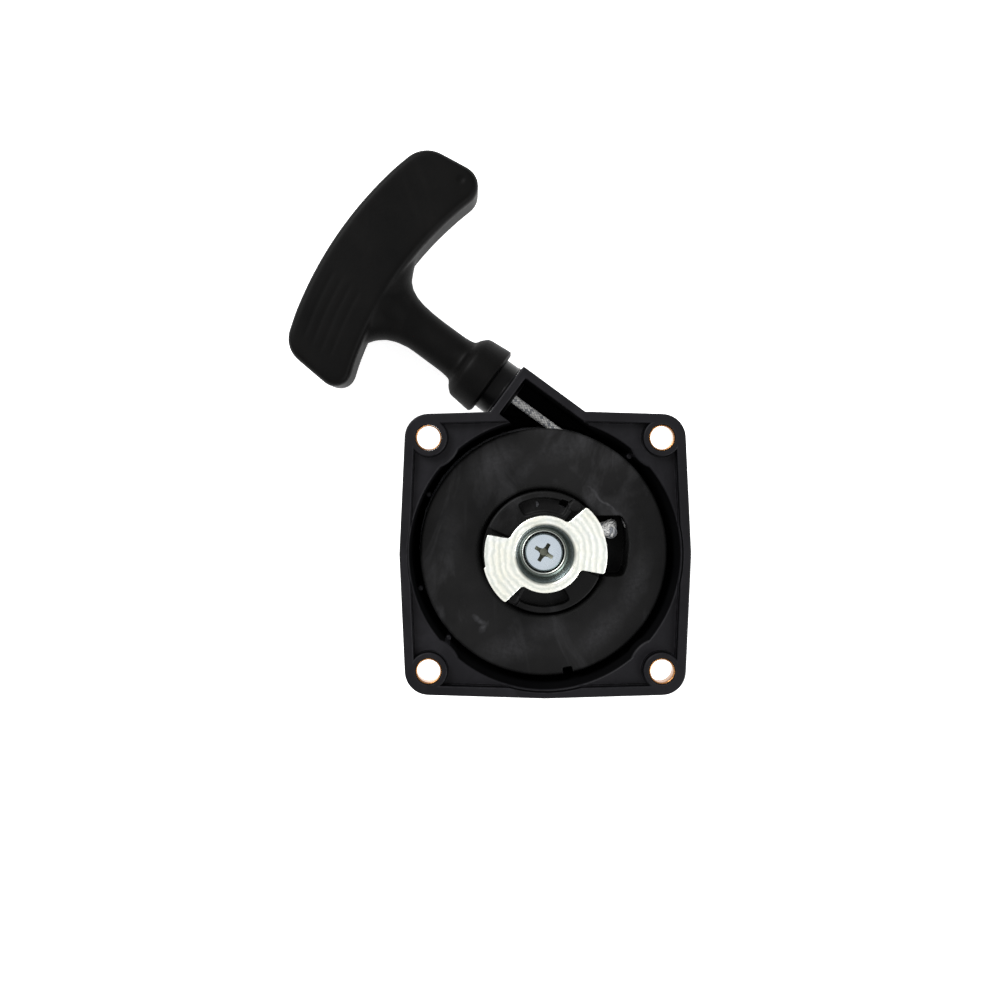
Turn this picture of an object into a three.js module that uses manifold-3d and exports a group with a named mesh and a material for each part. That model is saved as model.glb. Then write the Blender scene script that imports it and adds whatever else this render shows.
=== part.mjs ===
// Recoil starter for a small two-stroke engine, seen from its engine side.
// Millimetres. The crank axis is Z, the closed back of the housing lies on z = 0
// and the open face that bolts to the engine looks along +Z.
import * as THREE from 'three';
import { mergeVertices } from 'three/addons/utils/BufferGeometryUtils.js';
import Module from 'manifold-3d';

const wasm = await Module();
wasm.setup();

// Driving dimensions
const depth = 27;
const clearance = 0.3;
const boltPitch = 62;
const cornerRadius = 6.4;
const sideReach = 38.8;
const endReach = 38.3;
const rimWidth = 2.3;
const pocketDepth = 2.2;
const flangeThickness = 5;
const backThickness = 2.4;
const cavityRadius = 36.2;
const drumRadius = 38.3;

const pullAngle = THREE.MathUtils.degToRad(36.3);
const pullOffset = 28.9;
const ropeHeight = 14.5;
const ropeRadius = 1.5;
const outletFace = 34.3;

const postRadius = 5.2;
const postTop = 16.8;
const reelRadius = 33.6;
const reelFace = 20.4;
const reelBottom = 8.7;
const coreRadius = 24.5;
const recessRadius = 17.2;
const recessFloor = 11.8;
const flangeGap = 2.4;
const sleeveRadius = 8.6;
const clawTop = 26.7;
const clawThickness = 2;
const knotAngle = THREE.MathUtils.degToRad(18.2);
const headRadius = 5.15;

// Materials
const paint = (color, roughness, metalness = 0) => new THREE.MeshStandardMaterial({ color, roughness, metalness });
const blackNylon = paint(0x232226, 0.55);
const matteNylon = paint(0x222224, 0.7);
const gripNylon = paint(0x141414, 0.5);
const brass = paint(0xc8a064, 0.3, 1);
const zincSteel = paint(0xdce1d7, 0.3, 1);
const blueZinc = paint(0xc8d7e1, 0.25, 1);
const springSteel = paint(0x6d7076, 0.35, 1);
const darkSteel = paint(0x3a3c3e, 0.45, 1);
const bronze = paint(0x8f6b3a, 0.45, 1);
const braid = paint(0xe3e3df, 0.9);

const starter = new THREE.Group();
const pullLine = new THREE.Group();
pullLine.rotation.z = Math.PI / 2 - pullAngle;
pullLine.position.z = ropeHeight;
starter.add(pullLine);

function addPiece(parent, name, geometry, material) {
  const mesh = new THREE.Mesh(geometry, material);
  mesh.name = name;
  parent.add(mesh);
  return mesh;
}

// Solid helpers
function toSolid(geometry) {
  const bare = geometry.clone();
  bare.deleteAttribute('normal');
  bare.deleteAttribute('uv');
  const merged = mergeVertices(bare, 1e-4);
  const corners = merged.index.array;
  const kept = [];
  for (let i = 0; i < corners.length; i += 3) {
    const [a, b, c] = corners.slice(i, i + 3);
    if (a !== b && b !== c && c !== a) kept.push(a, b, c);
  }
  const vertProperties = new Float32Array(merged.attributes.position.array);
  return new wasm.Manifold(new wasm.Mesh({ numProp: 3, vertProperties, triVerts: new Uint32Array(kept) }));
}

function toGeometry(solid) {
  const mesh = solid.getMesh();
  const geometry = new THREE.BufferGeometry();
  geometry.setAttribute('position', new THREE.BufferAttribute(mesh.vertProperties, 3));
  geometry.setIndex(new THREE.BufferAttribute(mesh.triVerts, 1));
  geometry.computeVertexNormals();
  return geometry;
}

function join(first, ...others) {
  return toGeometry(others.reduce((body, other) => body.add(toSolid(other)), toSolid(first)));
}

function cut(first, ...others) {
  return toGeometry(others.reduce((body, other) => body.subtract(toSolid(other)), toSolid(first)));
}

// A profile of [radius, height] pairs turned about Y, always wound to face out.
function latheY(profile, segments = 36) {
  const points = profile.map(([radius, height]) => new THREE.Vector2(radius, height));
  if (THREE.ShapeUtils.area(points) < 0) points.reverse();
  return new THREE.LatheGeometry([...points, points[0].clone()], segments);
}

function turned(profile, segments) {
  return latheY(profile, segments).rotateX(Math.PI / 2);
}

function ring(inner, outer, bottom, top, segments) {
  return turned([[inner, bottom], [outer, bottom], [outer, top], [inner, top]], segments);
}

function disc(radius, bottom, top, segments) {
  return turned([[0, bottom], [radius, bottom], [radius, top], [0, top]], segments);
}

function prism(shape, bottom, top, curveSegments = 8) {
  const options = { depth: top - bottom, bevelEnabled: false, curveSegments };
  return new THREE.ExtrudeGeometry(shape, options).translate(0, 0, bottom);
}

function polygon(points) {
  return new THREE.Shape(points.map(([x, y]) => new THREE.Vector2(x, y)));
}

function polar(radius, angle) {
  return new THREE.Vector2(radius * Math.cos(angle), radius * Math.sin(angle));
}

function sector(inner, outer, startDegrees, endDegrees) {
  const start = THREE.MathUtils.degToRad(startDegrees);
  const end = THREE.MathUtils.degToRad(endDegrees);
  const shape = new THREE.Shape();
  shape.absarc(0, 0, outer, start, end, false);
  shape.absarc(0, 0, inner, end, start, true);
  shape.closePath();
  return shape;
}

const boltCentres = [0, 1, 2, 3].map((index) => polar(boltPitch / Math.SQRT2, Math.PI * (0.25 + index / 2)));

// Housing: square bolting flange, round drum, rope nose and centre post
function plateOutline(inset) {
  const shape = new THREE.Shape();
  const middles = [sideReach, endReach, sideReach, endReach];
  middles.forEach((reach, index) => {
    const turn = index * Math.PI / 2;
    const middle = polar(reach - inset, turn);
    if (index === 0) shape.moveTo(middle.x, middle.y);
    else shape.lineTo(middle.x, middle.y);
    const corner = boltCentres[index];
    const arcStart = polar(cornerRadius - inset, turn);
    shape.lineTo(corner.x + arcStart.x, corner.y + arcStart.y);
    shape.absarc(corner.x, corner.y, cornerRadius - inset, turn, turn + Math.PI / 2, false);
  });
  shape.closePath();
  return shape;
}

function noseBlock(left, right, end, bottom) {
  const outline = polygon([[left, 18], [right, 4], [right, end], [left, end]]);
  return prism(outline, bottom, depth).rotateZ(pullLine.rotation.z);
}

function onPullLine(geometry) {
  return geometry.translate(pullOffset, 0, 0).rotateZ(pullLine.rotation.z).translate(0, 0, ropeHeight);
}

function gusset(centre) {
  const reach = 6;
  const outline = polygon([[36, 22.5], [36, 12], [36 + reach / 2, 15.5], [39.4, 22.5]]);
  const web = prism(outline, -1, 1).rotateX(Math.PI / 2);
  return web.rotateZ(Math.atan2(centre.y, centre.x));
}

function makeHousing() {
  const flangeBottom = depth - flangeThickness;
  const pocketFloor = depth - pocketDepth;
  const drum = turned([
    [0, 0], [32.4, 0], [34.4, 0.6], [35.4, 2.2], [36.2, 6],
    [drumRadius, flangeBottom], [drumRadius, depth - 2], [0, depth - 2],
  ], 52);
  const nose = noseBlock(21.5, 36.9, outletFace, 5);
  const gussets = boltCentres.map(gusset);
  const body = join(prism(plateOutline(0), flangeBottom, depth), drum, nose, ...gussets);

  const bossColumns = boltCentres.map(({ x, y }) => disc(5.2, flangeBottom, depth + 2, 20).translate(x, y, 0));
  const pocket = cut(prism(plateOutline(rimWidth), pocketFloor, depth + 1), ...bossColumns);
  const bumps = boltCentres.map(({ x, y }) => disc(8.8, 0, pocketFloor, 24).translate(x, y, 0));
  const cavity = cut(turned([
    [0, backThickness], [34.6, backThickness], [cavityRadius, pocketFloor - 0.8],
    [cavityRadius + 0.7, pocketFloor], [cavityRadius + 0.7, depth + 1], [0, depth + 1],
  ], 52), ...bumps);
  const noseCavity = prism(
    polygon([[22.8, 16], [34.6, 6], [34.6, outletFace - rimWidth], [22.8, outletFace - rimWidth]]),
    7.3, depth + 1,
  ).rotateZ(pullLine.rotation.z);
  const outletHole = onPullLine(latheY([[0, 28], [5.3, 28], [5.3, 37], [0, 37]], 20));
  const boltHoles = boltCentres.map(({ x, y }) => disc(3.95, 20, depth + 1, 20).translate(x, y, 0));
  const shell = cut(body, pocket, cavity, noseCavity, outletHole, ...boltHoles);

  const post = turned([
    [0, 1], [postRadius + 1.5, 1], [postRadius + 1.5, backThickness + 0.4], [postRadius, backThickness + 0.6],
    [postRadius, postTop], [3.9, postTop], [3.9, 3.6], [0, 3.6],
  ], 24);
  return join(shell, post);
}
addPiece(starter, 'housing', makeHousing(), blackNylon);

// Knurled brass bushes pressed into the four bolt holes
function knurledBush() {
  const teeth = 16;
  const points = [];
  for (let index = 0; index < teeth * 2; index++) {
    points.push(polar(index % 2 ? 3.45 : 3.65, index * Math.PI / teeth));
  }
  const outline = new THREE.Shape(points);
  outline.holes.push(new THREE.Path().absarc(0, 0, 3.15, 0, 2 * Math.PI, true));
  return prism(outline, depth - flangeThickness + 0.2, depth - 0.2, 8);
}
boltCentres.forEach((centre, index) => {
  const bush = addPiece(starter, `mounting_bush_${index + 1}`, knurledBush(), brass);
  bush.position.set(centre.x, centre.y, 0);
});

// Rope guide: pressed through the outlet wall, its nose seats the handle
const guideProfile = [
  [2.9, outletFace - 3.2], [5, outletFace - 3.2], [5, outletFace + clearance], [7.7, outletFace + clearance],
  [7.7, 38.4], [6.1, 38.5], [5.9, 41.2], [3, 41.2], [2.2, 40.2], [2.2, outletFace - 2],
];
addPiece(pullLine, 'rope_guide', latheY(guideProfile, 20).translate(pullOffset, 0, 0), matteNylon);

// Recoil spring in its case, under a thin cover
const caseRadius = 34.2;
const caseWall = 0.8;
const caseBottom = backThickness + clearance;
const caseTop = 7.6;
addPiece(starter, 'spring_case', turned([
  [9.5, caseBottom], [caseRadius, caseBottom], [caseRadius, caseTop], [caseRadius - caseWall, caseTop],
  [caseRadius - caseWall, caseBottom + caseWall], [9.5, caseBottom + caseWall],
], 40), darkSteel);
addPiece(starter, 'spring_cover', ring(9.2, caseRadius - 0.3, caseTop + clearance, 8.35, 40), darkSteel);

function makeMainspring() {
  const strip = 0.5;
  const packedTurns = 6;
  const pitch = 1.15;
  const looseTurns = 1.5;
  const stepsPerTurn = 18;
  const outerRadius = caseRadius - caseWall - 0.6;
  const packedRadius = outerRadius - packedTurns * pitch;
  const innerRadius = 8.9;
  const steps = Math.round((packedTurns + looseTurns) * stepsPerTurn);
  const outer = [];
  const inner = [];
  for (let step = 0; step <= steps; step++) {
    const turns = step / stepsPerTurn;
    const loose = Math.max(0, (turns - packedTurns) / looseTurns);
    const packed = outerRadius - pitch * Math.min(turns, packedTurns);
    const radius = packed - (packedRadius - innerRadius) * loose * (2 - loose) * (loose > 0 ? 1 : 0);
    const angle = -turns * 2 * Math.PI;
    outer.push(polar(radius, angle));
    inner.push(polar(radius - strip, angle));
  }
  return prism(new THREE.Shape([...outer, ...inner.reverse()]), caseBottom + caseWall + clearance, caseTop - 0.2);
}
addPiece(starter, 'mainspring', makeMainspring(), springSteel);

// Centre post: threaded insert, retaining washer and screw
addPiece(starter, 'post_insert', ring(2.75, 3.6, 4, postTop - 0.2, 20), brass);
addPiece(starter, 'retaining_washer', ring(2.75, 8.2, postTop + clearance, 18.1, 24), darkSteel);

function makeScrew() {
  const seat = 18.1 + clearance;
  const headTop = 21.3;
  const body = turned([
    [0, 5], [2.1, 5], [2.45, 5.4], [2.45, seat], [headRadius - 0.3, seat], [headRadius, seat + 0.4],
    [headRadius, seat + 1.5], [headRadius - 0.5, seat + 2.3], [3, headTop - 0.15], [0, headTop],
  ], 24);
  const arms = [0, 1].map((index) => {
    const slot = polygon([[-3, 0], [-1.1, -2.1], [1.1, -2.1], [3, 0], [3, 1], [-3, 1]]);
    const wedge = prism(slot, -0.6, 0.6).rotateX(Math.PI / 2).translate(0, 0, headTop);
    return wedge.rotateZ(THREE.MathUtils.degToRad(59 + 90 * index));
  });
  return cut(body, ...arms);
}
addPiece(starter, 'center_screw', makeScrew(), blueZinc);

// Reel with its rope groove, drive recess and knot window
function makeReel() {
  const lowerFlange = reelBottom + flangeGap - 0.1;
  const upperFlange = reelFace - flangeGap;
  const wheel = turned([
    [6.6, 3.2], [8, 3.2], [8, reelBottom], [reelRadius - 0.4, reelBottom], [reelRadius, reelBottom + 0.4],
    [reelRadius, lowerFlange - 0.3], [coreRadius, lowerFlange], [coreRadius, upperFlange],
    [reelRadius, upperFlange + 0.3], [reelRadius, reelFace - 0.4], [reelRadius - 0.4, reelFace],
    [recessRadius + 0.9, reelFace], [recessRadius, reelFace - 0.7], [recessRadius, recessFloor],
    [sleeveRadius, recessFloor], [sleeveRadius, 16.7], [6.6, 16.7],
  ], 48);
  const knotWindow = prism(
    polygon([[13.4, -5.6], [20.4, -5.6], [22.2, -4.2], [22.2, 7.7], [20.2, 9.7], [13.4, 9.7]]),
    recessFloor, reelFace + 1,
  );
  const ropeHole = new THREE.CylinderGeometry(1.9, 1.9, 5, 12).rotateZ(Math.PI / 2)
    .translate(24, 0, ropeHeight).rotateZ(knotAngle);
  const notch = new THREE.BoxGeometry(2.4, 2.5, 5).translate(reelRadius - 0.6, 0, reelFace)
    .rotateZ(THREE.MathUtils.degToRad(-78.5));
  const springSlot = new THREE.BoxGeometry(1.2, 1.4, 4.6).translate(7.9, 0, 5.4);
  return cut(wheel, knotWindow, ropeHole, notch, springSlot);
}
addPiece(starter, 'reel', makeReel(), matteNylon);
addPiece(starter, 'reel_bush', ring(postRadius + clearance, 6.3, 3.4, 16.5, 24), bronze);

// Damper spring between the reel and the drive hub
class Helix extends THREE.Curve {
  getPoint(t, target = new THREE.Vector3()) {
    const turns = 1.9;
    const { x, y } = polar(13.1, 0.9 + t * turns * 2 * Math.PI);
    return target.set(x, y, 12.95 + t * 3.7);
  }
}
function roundSection(radius, sides) {
  return new THREE.Shape(Array.from({ length: sides }, (_, index) => polar(radius, index * 2 * Math.PI / sides)));
}
const helixOptions = { steps: 40, extrudePath: new Helix(), bevelEnabled: false };
addPiece(starter, 'damper_spring', new THREE.ExtrudeGeometry(roundSection(0.8, 8), helixOptions), springSteel);

// Drive hub: two slotted lobes on a disc that turns in the reel's recess
function makeHub() {
  const discBottom = 17.6;
  const lobeTop = 20.9;
  const rimRadius = recessRadius - clearance;
  const base = turned([
    [8.9, 12.1], [10.3, 12.1], [10.3, discBottom], [rimRadius, discBottom], [rimRadius, 19],
    [9.8, 19], [9.8, 23.5], [8.4, 23.5], [8.4, 18.9], [8.9, 18.9],
  ], 36);
  const lobes = [0, 180].map((turn) => prism(sector(9.2, rimRadius - 0.2, 55.5 + turn, 156.5 + turn), 18, lobeTop));
  const pads = [55.7, 235.7].map((angle) => {
    const { x, y } = polar(15, THREE.MathUtils.degToRad(angle));
    return disc(1.65, 18, lobeTop + 0.5, 14).translate(x, y, 0);
  });
  const slots = [0, 180].map((turn) => prism(sector(10.9, 14.8, 61 + turn, 119 + turn), 18.8, lobeTop + 1));
  const hook = polar(14.2, THREE.MathUtils.degToRad(67.4));
  const hookHole = disc(1.1, 17, lobeTop + 1, 12).translate(hook.x, hook.y, 0);
  return cut(join(base, ...lobes, ...pads), ...slots, hookHole);
}
addPiece(starter, 'drive_hub', makeHub(), matteNylon);

// Drive claw: a deep drawn cup with two wings that the engine's pawls catch
function wingOutline() {
  const outerRadius = 16.75;
  const corner = 0.9;
  const [lowerRoot, lowerTip, upperTip, upperRoot] = [-23.8, -18.8, 47.8, 54.1].map(THREE.MathUtils.degToRad);
  const cornerTurn = corner / outerRadius;
  const lowerBend = polar(outerRadius, lowerTip);
  const upperBend = polar(outerRadius, upperTip);
  const lowerSide = polar(10.55, lowerRoot).lerp(lowerBend, 0.86);
  const upperSide = polar(10.55, upperRoot).lerp(upperBend, 0.86);
  const shape = new THREE.Shape();
  const [start, finish] = [polar(9, lowerRoot), polar(9, upperRoot)];
  const arcStart = polar(outerRadius, lowerTip + cornerTurn);
  shape.moveTo(start.x, start.y);
  shape.lineTo(lowerSide.x, lowerSide.y);
  shape.quadraticCurveTo(lowerBend.x, lowerBend.y, arcStart.x, arcStart.y);
  shape.absarc(0, 0, outerRadius, lowerTip + cornerTurn, upperTip - cornerTurn, false);
  shape.quadraticCurveTo(upperBend.x, upperBend.y, upperSide.x, upperSide.y);
  shape.lineTo(finish.x, finish.y);
  return shape;
}

function makeClaw() {
  const under = clawTop - clawThickness;
  const cup = turned([
    [5.55, 19.3], [7.3, 19.3], [7.95, 20.2], [8, under - 1.1], [8.6, under], [10.3, under],
    [10.3, clawTop], [8.3, clawTop], [7.75, clawTop - 0.5], [7.35, clawTop - 1.7],
    [6.9, clawTop - 4.1], [6.7, 21], [5.55, 20.4],
  ], 36);
  const wings = [0, Math.PI].map((turn) => prism(wingOutline(), under, clawTop).rotateZ(turn));
  return join(cup, ...wings);
}
addPiece(starter, 'drive_claw', makeClaw(), zincSteel);

// Rope: wound turns in the groove, the straight run and a knot at each end
addPiece(starter, 'rope_coil', ring(coreRadius + 0.1, 30.3, 11.5, 17.5, 40), braid);
const runStart = 13.6;
const knotSeat = 82;
const runEnd = knotSeat + 1.7;
const runPath = new THREE.LineCurve3(
  new THREE.Vector3(pullOffset, runStart, 0),
  new THREE.Vector3(pullOffset, runEnd, 0),
);
const runOptions = { steps: 8, extrudePath: runPath, bevelEnabled: false };
addPiece(pullLine, 'rope_run', new THREE.ExtrudeGeometry(roundSection(ropeRadius, 8), runOptions), braid);

const reelKnot = addPiece(starter, 'reel_knot', new THREE.SphereGeometry(2.3, 12, 8), braid);
reelKnot.position.set(19.1 * Math.cos(knotAngle), 19.1 * Math.sin(knotAngle), ropeHeight + 0.4);
const handleKnot = addPiece(pullLine, 'handle_knot', new THREE.SphereGeometry(3.6, 14, 8), braid);
handleKnot.position.set(pullOffset, knotSeat + 5.7, 0);

// Handle: curved cross bar, neck and bell-shaped collar
const barRadius = 104.6;
const outerCrown = new THREE.Vector2(39.5, 96.35);
const innerCrown = new THREE.Vector2(41, 75.6);
const barThickness = 17;
const pocketRadius = 5.2;

// A point on the bar's long edge: an arc that is highest at its crown
function barEdge(crown, across) {
  const drop = barRadius - Math.sqrt(barRadius ** 2 - (across - crown.x) ** 2);
  return new THREE.Vector2(across, crown.y - drop);
}

function roundedCorner(from, corner, to) {
  const [start, finish] = [from, to].map((point) => point.clone().lerp(corner, 0.55));
  return new THREE.CubicBezierCurve(from, start, finish, to).getPoints(4);
}

function barOutline() {
  const outerReach = 5.4;
  const innerReach = 6;
  const [highOuter, lowOuter] = [69.9, 2.8].map((across) => barEdge(outerCrown, across));
  const [highInner, lowInner] = [71.8, 1.3].map((across) => barEdge(innerCrown, across));
  const inFrom = (corner, next, reach) => next.clone().sub(corner).setLength(reach).add(corner);
  const outer = [highOuter.x - outerReach, lowOuter.x + outerReach];
  const inner = [lowInner.x + innerReach, highInner.x - innerReach];
  const row = (crown, [start, end]) => Array.from({ length: 9 }, (_, index) => (
    barEdge(crown, start + (end - start) * (index + 1) / 10)
  ));
  return new THREE.Shape([
    ...row(outerCrown, outer),
    ...roundedCorner(barEdge(outerCrown, outer[1]), lowOuter, inFrom(lowOuter, lowInner, outerReach)),
    ...roundedCorner(inFrom(lowInner, lowOuter, innerReach), lowInner, barEdge(innerCrown, inner[0])),
    ...row(innerCrown, inner),
    ...roundedCorner(barEdge(innerCrown, inner[1]), highInner, inFrom(highInner, highOuter, innerReach)),
    ...roundedCorner(inFrom(highOuter, highInner, outerReach), highOuter, barEdge(outerCrown, outer[0])),
  ]);
}

function makeGrip() {
  const edge = 4;
  const edgeWidth = 2.6;
  const bar = new THREE.ExtrudeGeometry(barOutline(), {
    depth: barThickness - 2 * edge, bevelThickness: edge, bevelSize: edgeWidth,
    bevelOffset: -edgeWidth, bevelSegments: 3,
  }).translate(0, 0, edge - barThickness / 2);
  const neck = latheY([
    [0, 38.7], [8.6, 38.7], [9.7, 39.1], [10.05, 40], [9.75, 43], [9.35, 46], [8.7, 47.2],
    [7.2, 48], [6.2, 49], [5.85, 51], [5.75, 54], [5.75, 64], [6, 67.5], [6.7, 70], [7.9, 72.8],
    [8.1, 78], [0, 78],
  ], 24).translate(pullOffset, 0, 0);
  const web = prism(polygon([
    [23.4, 62], [22.6, 67.4], [20.8, 70.4], [16.8, 72.9], [17.5, 80], [39, 80], [39, 75.1],
    [36.8, 73.3], [35.2, 69.8], [34.4, 62],
  ]), -4.6, 4.6);
  const bore = latheY([
    [0, 38], [6.6, 38], [6.6, 41.7], [2, 42.6], [2, knotSeat], [pocketRadius, knotSeat],
    [pocketRadius, 100], [0, 100],
  ], 16).translate(pullOffset, 0, 0);
  return cut(join(bar, neck, web), bore);
}
addPiece(pullLine, 'handle_grip', makeGrip(), gripNylon);
const washerProfile = [
  [2, knotSeat + 0.3], [4.8, knotSeat + 0.3], [4.8, knotSeat + 1.3], [2, knotSeat + 1.3],
];
addPiece(pullLine, 'knot_washer', latheY(washerProfile, 16).translate(pullOffset, 0, 0), darkSteel);
const capProfile = [[0, 92], [pocketRadius - clearance, 92], [pocketRadius - clearance, 95.3], [0, 95.5]];
addPiece(pullLine, 'handle_cap', latheY(capProfile, 16).translate(pullOffset, 0, 0), gripNylon);

export default starter;
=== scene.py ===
import math

import bmesh
import bpy
import numpy as np
from mathutils import Matrix, Vector


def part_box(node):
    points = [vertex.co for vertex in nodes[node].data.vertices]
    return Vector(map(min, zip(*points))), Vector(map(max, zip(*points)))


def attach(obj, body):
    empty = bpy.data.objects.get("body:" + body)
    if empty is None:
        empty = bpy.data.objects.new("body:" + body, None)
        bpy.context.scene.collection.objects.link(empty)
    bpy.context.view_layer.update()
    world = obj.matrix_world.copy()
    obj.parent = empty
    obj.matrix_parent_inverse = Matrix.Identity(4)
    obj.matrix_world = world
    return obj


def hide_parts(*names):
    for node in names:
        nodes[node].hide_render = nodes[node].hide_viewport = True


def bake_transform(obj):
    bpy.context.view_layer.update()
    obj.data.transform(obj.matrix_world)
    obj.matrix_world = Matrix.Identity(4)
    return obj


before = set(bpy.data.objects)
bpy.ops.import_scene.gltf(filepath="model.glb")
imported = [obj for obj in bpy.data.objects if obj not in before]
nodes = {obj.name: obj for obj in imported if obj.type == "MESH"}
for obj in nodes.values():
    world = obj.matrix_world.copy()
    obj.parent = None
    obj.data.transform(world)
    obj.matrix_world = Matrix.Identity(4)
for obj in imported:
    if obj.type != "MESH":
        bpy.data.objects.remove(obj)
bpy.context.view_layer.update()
print("frame loaded")

mm = 0.001

# the rope outlet's own axes: x across the rope, y along it away from the reel
pullAngle = math.radians(36.3)
ropeHeight = 14.5
pullOffset = 28.9
ropeLeaves = 34.0
pullFrame = Matrix.Translation((0, 0, ropeHeight)) @ Matrix.Rotation(math.pi / 2 - pullAngle, 4, "Z")
alongRope = pullFrame @ Matrix.Translation((pullOffset, 0, 0)) @ Matrix.Rotation(-math.pi / 2, 4, "X")

boltHalf = 31.0
boltCentres = [(x * boltHalf, y * boltHalf) for x, y in ((1, 1), (-1, 1), (-1, -1), (1, -1))]
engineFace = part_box("housing")[1][2] / mm


# ---------- mesh making, all in millimetres until the mesh is written

def polar(radius, angle):
    return radius * math.cos(angle), radius * math.sin(angle)


def quarterTurn(steps):
    return [math.pi / 2 * i / steps for i in range(steps + 1)]


def addMesh(name, verts, faces, matrix=None):
    mesh = bpy.data.meshes.new(name)
    mesh.from_pydata([tuple(v) for v in verts], [], faces)
    if matrix is not None:
        mesh.transform(matrix)
    mesh.transform(Matrix.Scale(mm, 4))
    fixNormals(mesh)
    piece = bpy.data.objects.new(name, mesh)
    bpy.context.scene.collection.objects.link(piece)
    return piece


def fixNormals(mesh):
    work = bmesh.new()
    work.from_mesh(mesh)
    bmesh.ops.recalc_face_normals(work, faces=work.faces)
    work.to_mesh(mesh)
    work.free()


def filleted(points, steps=5):
    # a closed outline whose points may carry a corner radius as a third number
    result = []
    for index, point in enumerate(points):
        corner = Vector(point[:2])
        radius = point[2] if len(point) > 2 else 0
        if not radius:
            result.append(tuple(corner))
            continue
        before = Vector(points[index - 1][:2]) - corner
        after = Vector(points[(index + 1) % len(points)][:2]) - corner
        half = before.angle(after) / 2
        # a fillet takes up to half of an edge that it shares with another fillet
        neighbours = (points[index - 1], points[(index + 1) % len(points)])
        limits = [0.49 if len(near) > 2 and near[2] else 0.95 for near in neighbours]
        reach = min(radius / math.tan(half), limits[0] * before.length, limits[1] * after.length)
        size = reach * math.tan(half)
        centre = corner + (before.normalized() + after.normalized()).normalized() * (size / math.sin(half))
        start = corner + before.normalized() * reach - centre
        end = corner + after.normalized() * reach - centre
        sweep = math.atan2(start.cross(end), start.dot(end))
        first = math.atan2(start.y, start.x)
        for step in range(steps + 1):
            x, y = polar(size, first + sweep * step / steps)
            result.append((centre.x + x, centre.y + y))
    return result


def softOutline(corners, spacing=0.3, softness=0.5):
    # an even, smoothed copy of a closed outline
    loop = np.array(list(corners) + [corners[0]], float)
    travelled = np.concatenate([[0], np.cumsum(np.hypot(*np.diff(loop, axis=0).T))])
    count = int(travelled[-1] / spacing)
    step = travelled[-1] / count
    at = np.arange(count) * step
    line = np.interp(at, travelled, loop[:, 0]) + 1j * np.interp(at, travelled, loop[:, 1])
    damp = np.exp(-2 * (np.pi * np.fft.fftfreq(count, step) * softness) ** 2)
    line = np.fft.ifft(np.fft.fft(line) * damp)
    return list(zip(line.real, line.imag))


def lathe(name, profile, segments=128, matrix=None):
    verts, rings, faces = [], [], []
    for radius, height in profile:
        first = len(verts)
        if radius < 1e-6:
            rings.append([first] * segments)
            verts.append((0, 0, height))
            continue
        rings.append(list(range(first, first + segments)))
        verts += [(*polar(radius, 2 * math.pi * i / segments), height) for i in range(segments)]
    for lower, upper in zip(rings, rings[1:] + rings[:1]):
        for i in range(segments):
            j = (i + 1) % segments
            corners = list(dict.fromkeys((lower[i], lower[j], upper[j], upper[i])))
            if len(corners) > 2:
                faces.append(corners)
    return addMesh(name, verts, faces, matrix)


def stack(name, outline, layers, matrix=None):
    # layers of (inset, height) from the bottom up, each one the outline moved inward
    loop = np.array(outline, float)
    if np.sum(loop[:, 0] * np.roll(loop[:, 1], -1) - np.roll(loop[:, 0], -1) * loop[:, 1]) < 0:
        loop = loop[::-1]
    along = np.roll(loop, -1, axis=0) - np.roll(loop, 1, axis=0)
    inward = np.stack([-along[:, 1], along[:, 0]], axis=1) / np.linalg.norm(along, axis=1)[:, None]
    count = len(loop)
    verts, faces = [], []
    for inset, height in layers:
        verts += [(x, y, height) for x, y in loop + inward * inset]
    for level in range(len(layers) - 1):
        for i in range(count):
            j = (i + 1) % count
            low, high = level * count, (level + 1) * count
            faces.append((low + i, low + j, high + j, high + i))
    faces.append(tuple(reversed(range(count))))
    faces.append(tuple(range(len(verts) - count, len(verts))))
    return addMesh(name, verts, faces, matrix)


def roundedLayers(bottom, top, low=0.3, high=0.3, steps=4):
    # layers for a plate whose lower and upper edges are rounded
    turns = quarterTurn(steps)
    lower = [(low * (1 - math.sin(a)), bottom + low * (1 - math.cos(a))) for a in turns]
    upper = [(high * (1 - math.cos(a)), top - high * (1 - math.sin(a))) for a in turns]
    return lower + upper


def cutterLayers(bottom, top, fillet=0.3, flare=0.3, steps=4):
    # layers for a cutter that leaves a filleted floor and a rounded mouth at top
    turns = quarterTurn(steps)
    lower = [(fillet * (1 - math.sin(a)), bottom + fillet * (1 - math.cos(a))) for a in turns]
    upper = [(-flare * (1 - math.cos(a)), top - flare * (1 - math.sin(a))) for a in turns]
    return lower + upper + [(-flare, top + 2)]


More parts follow.
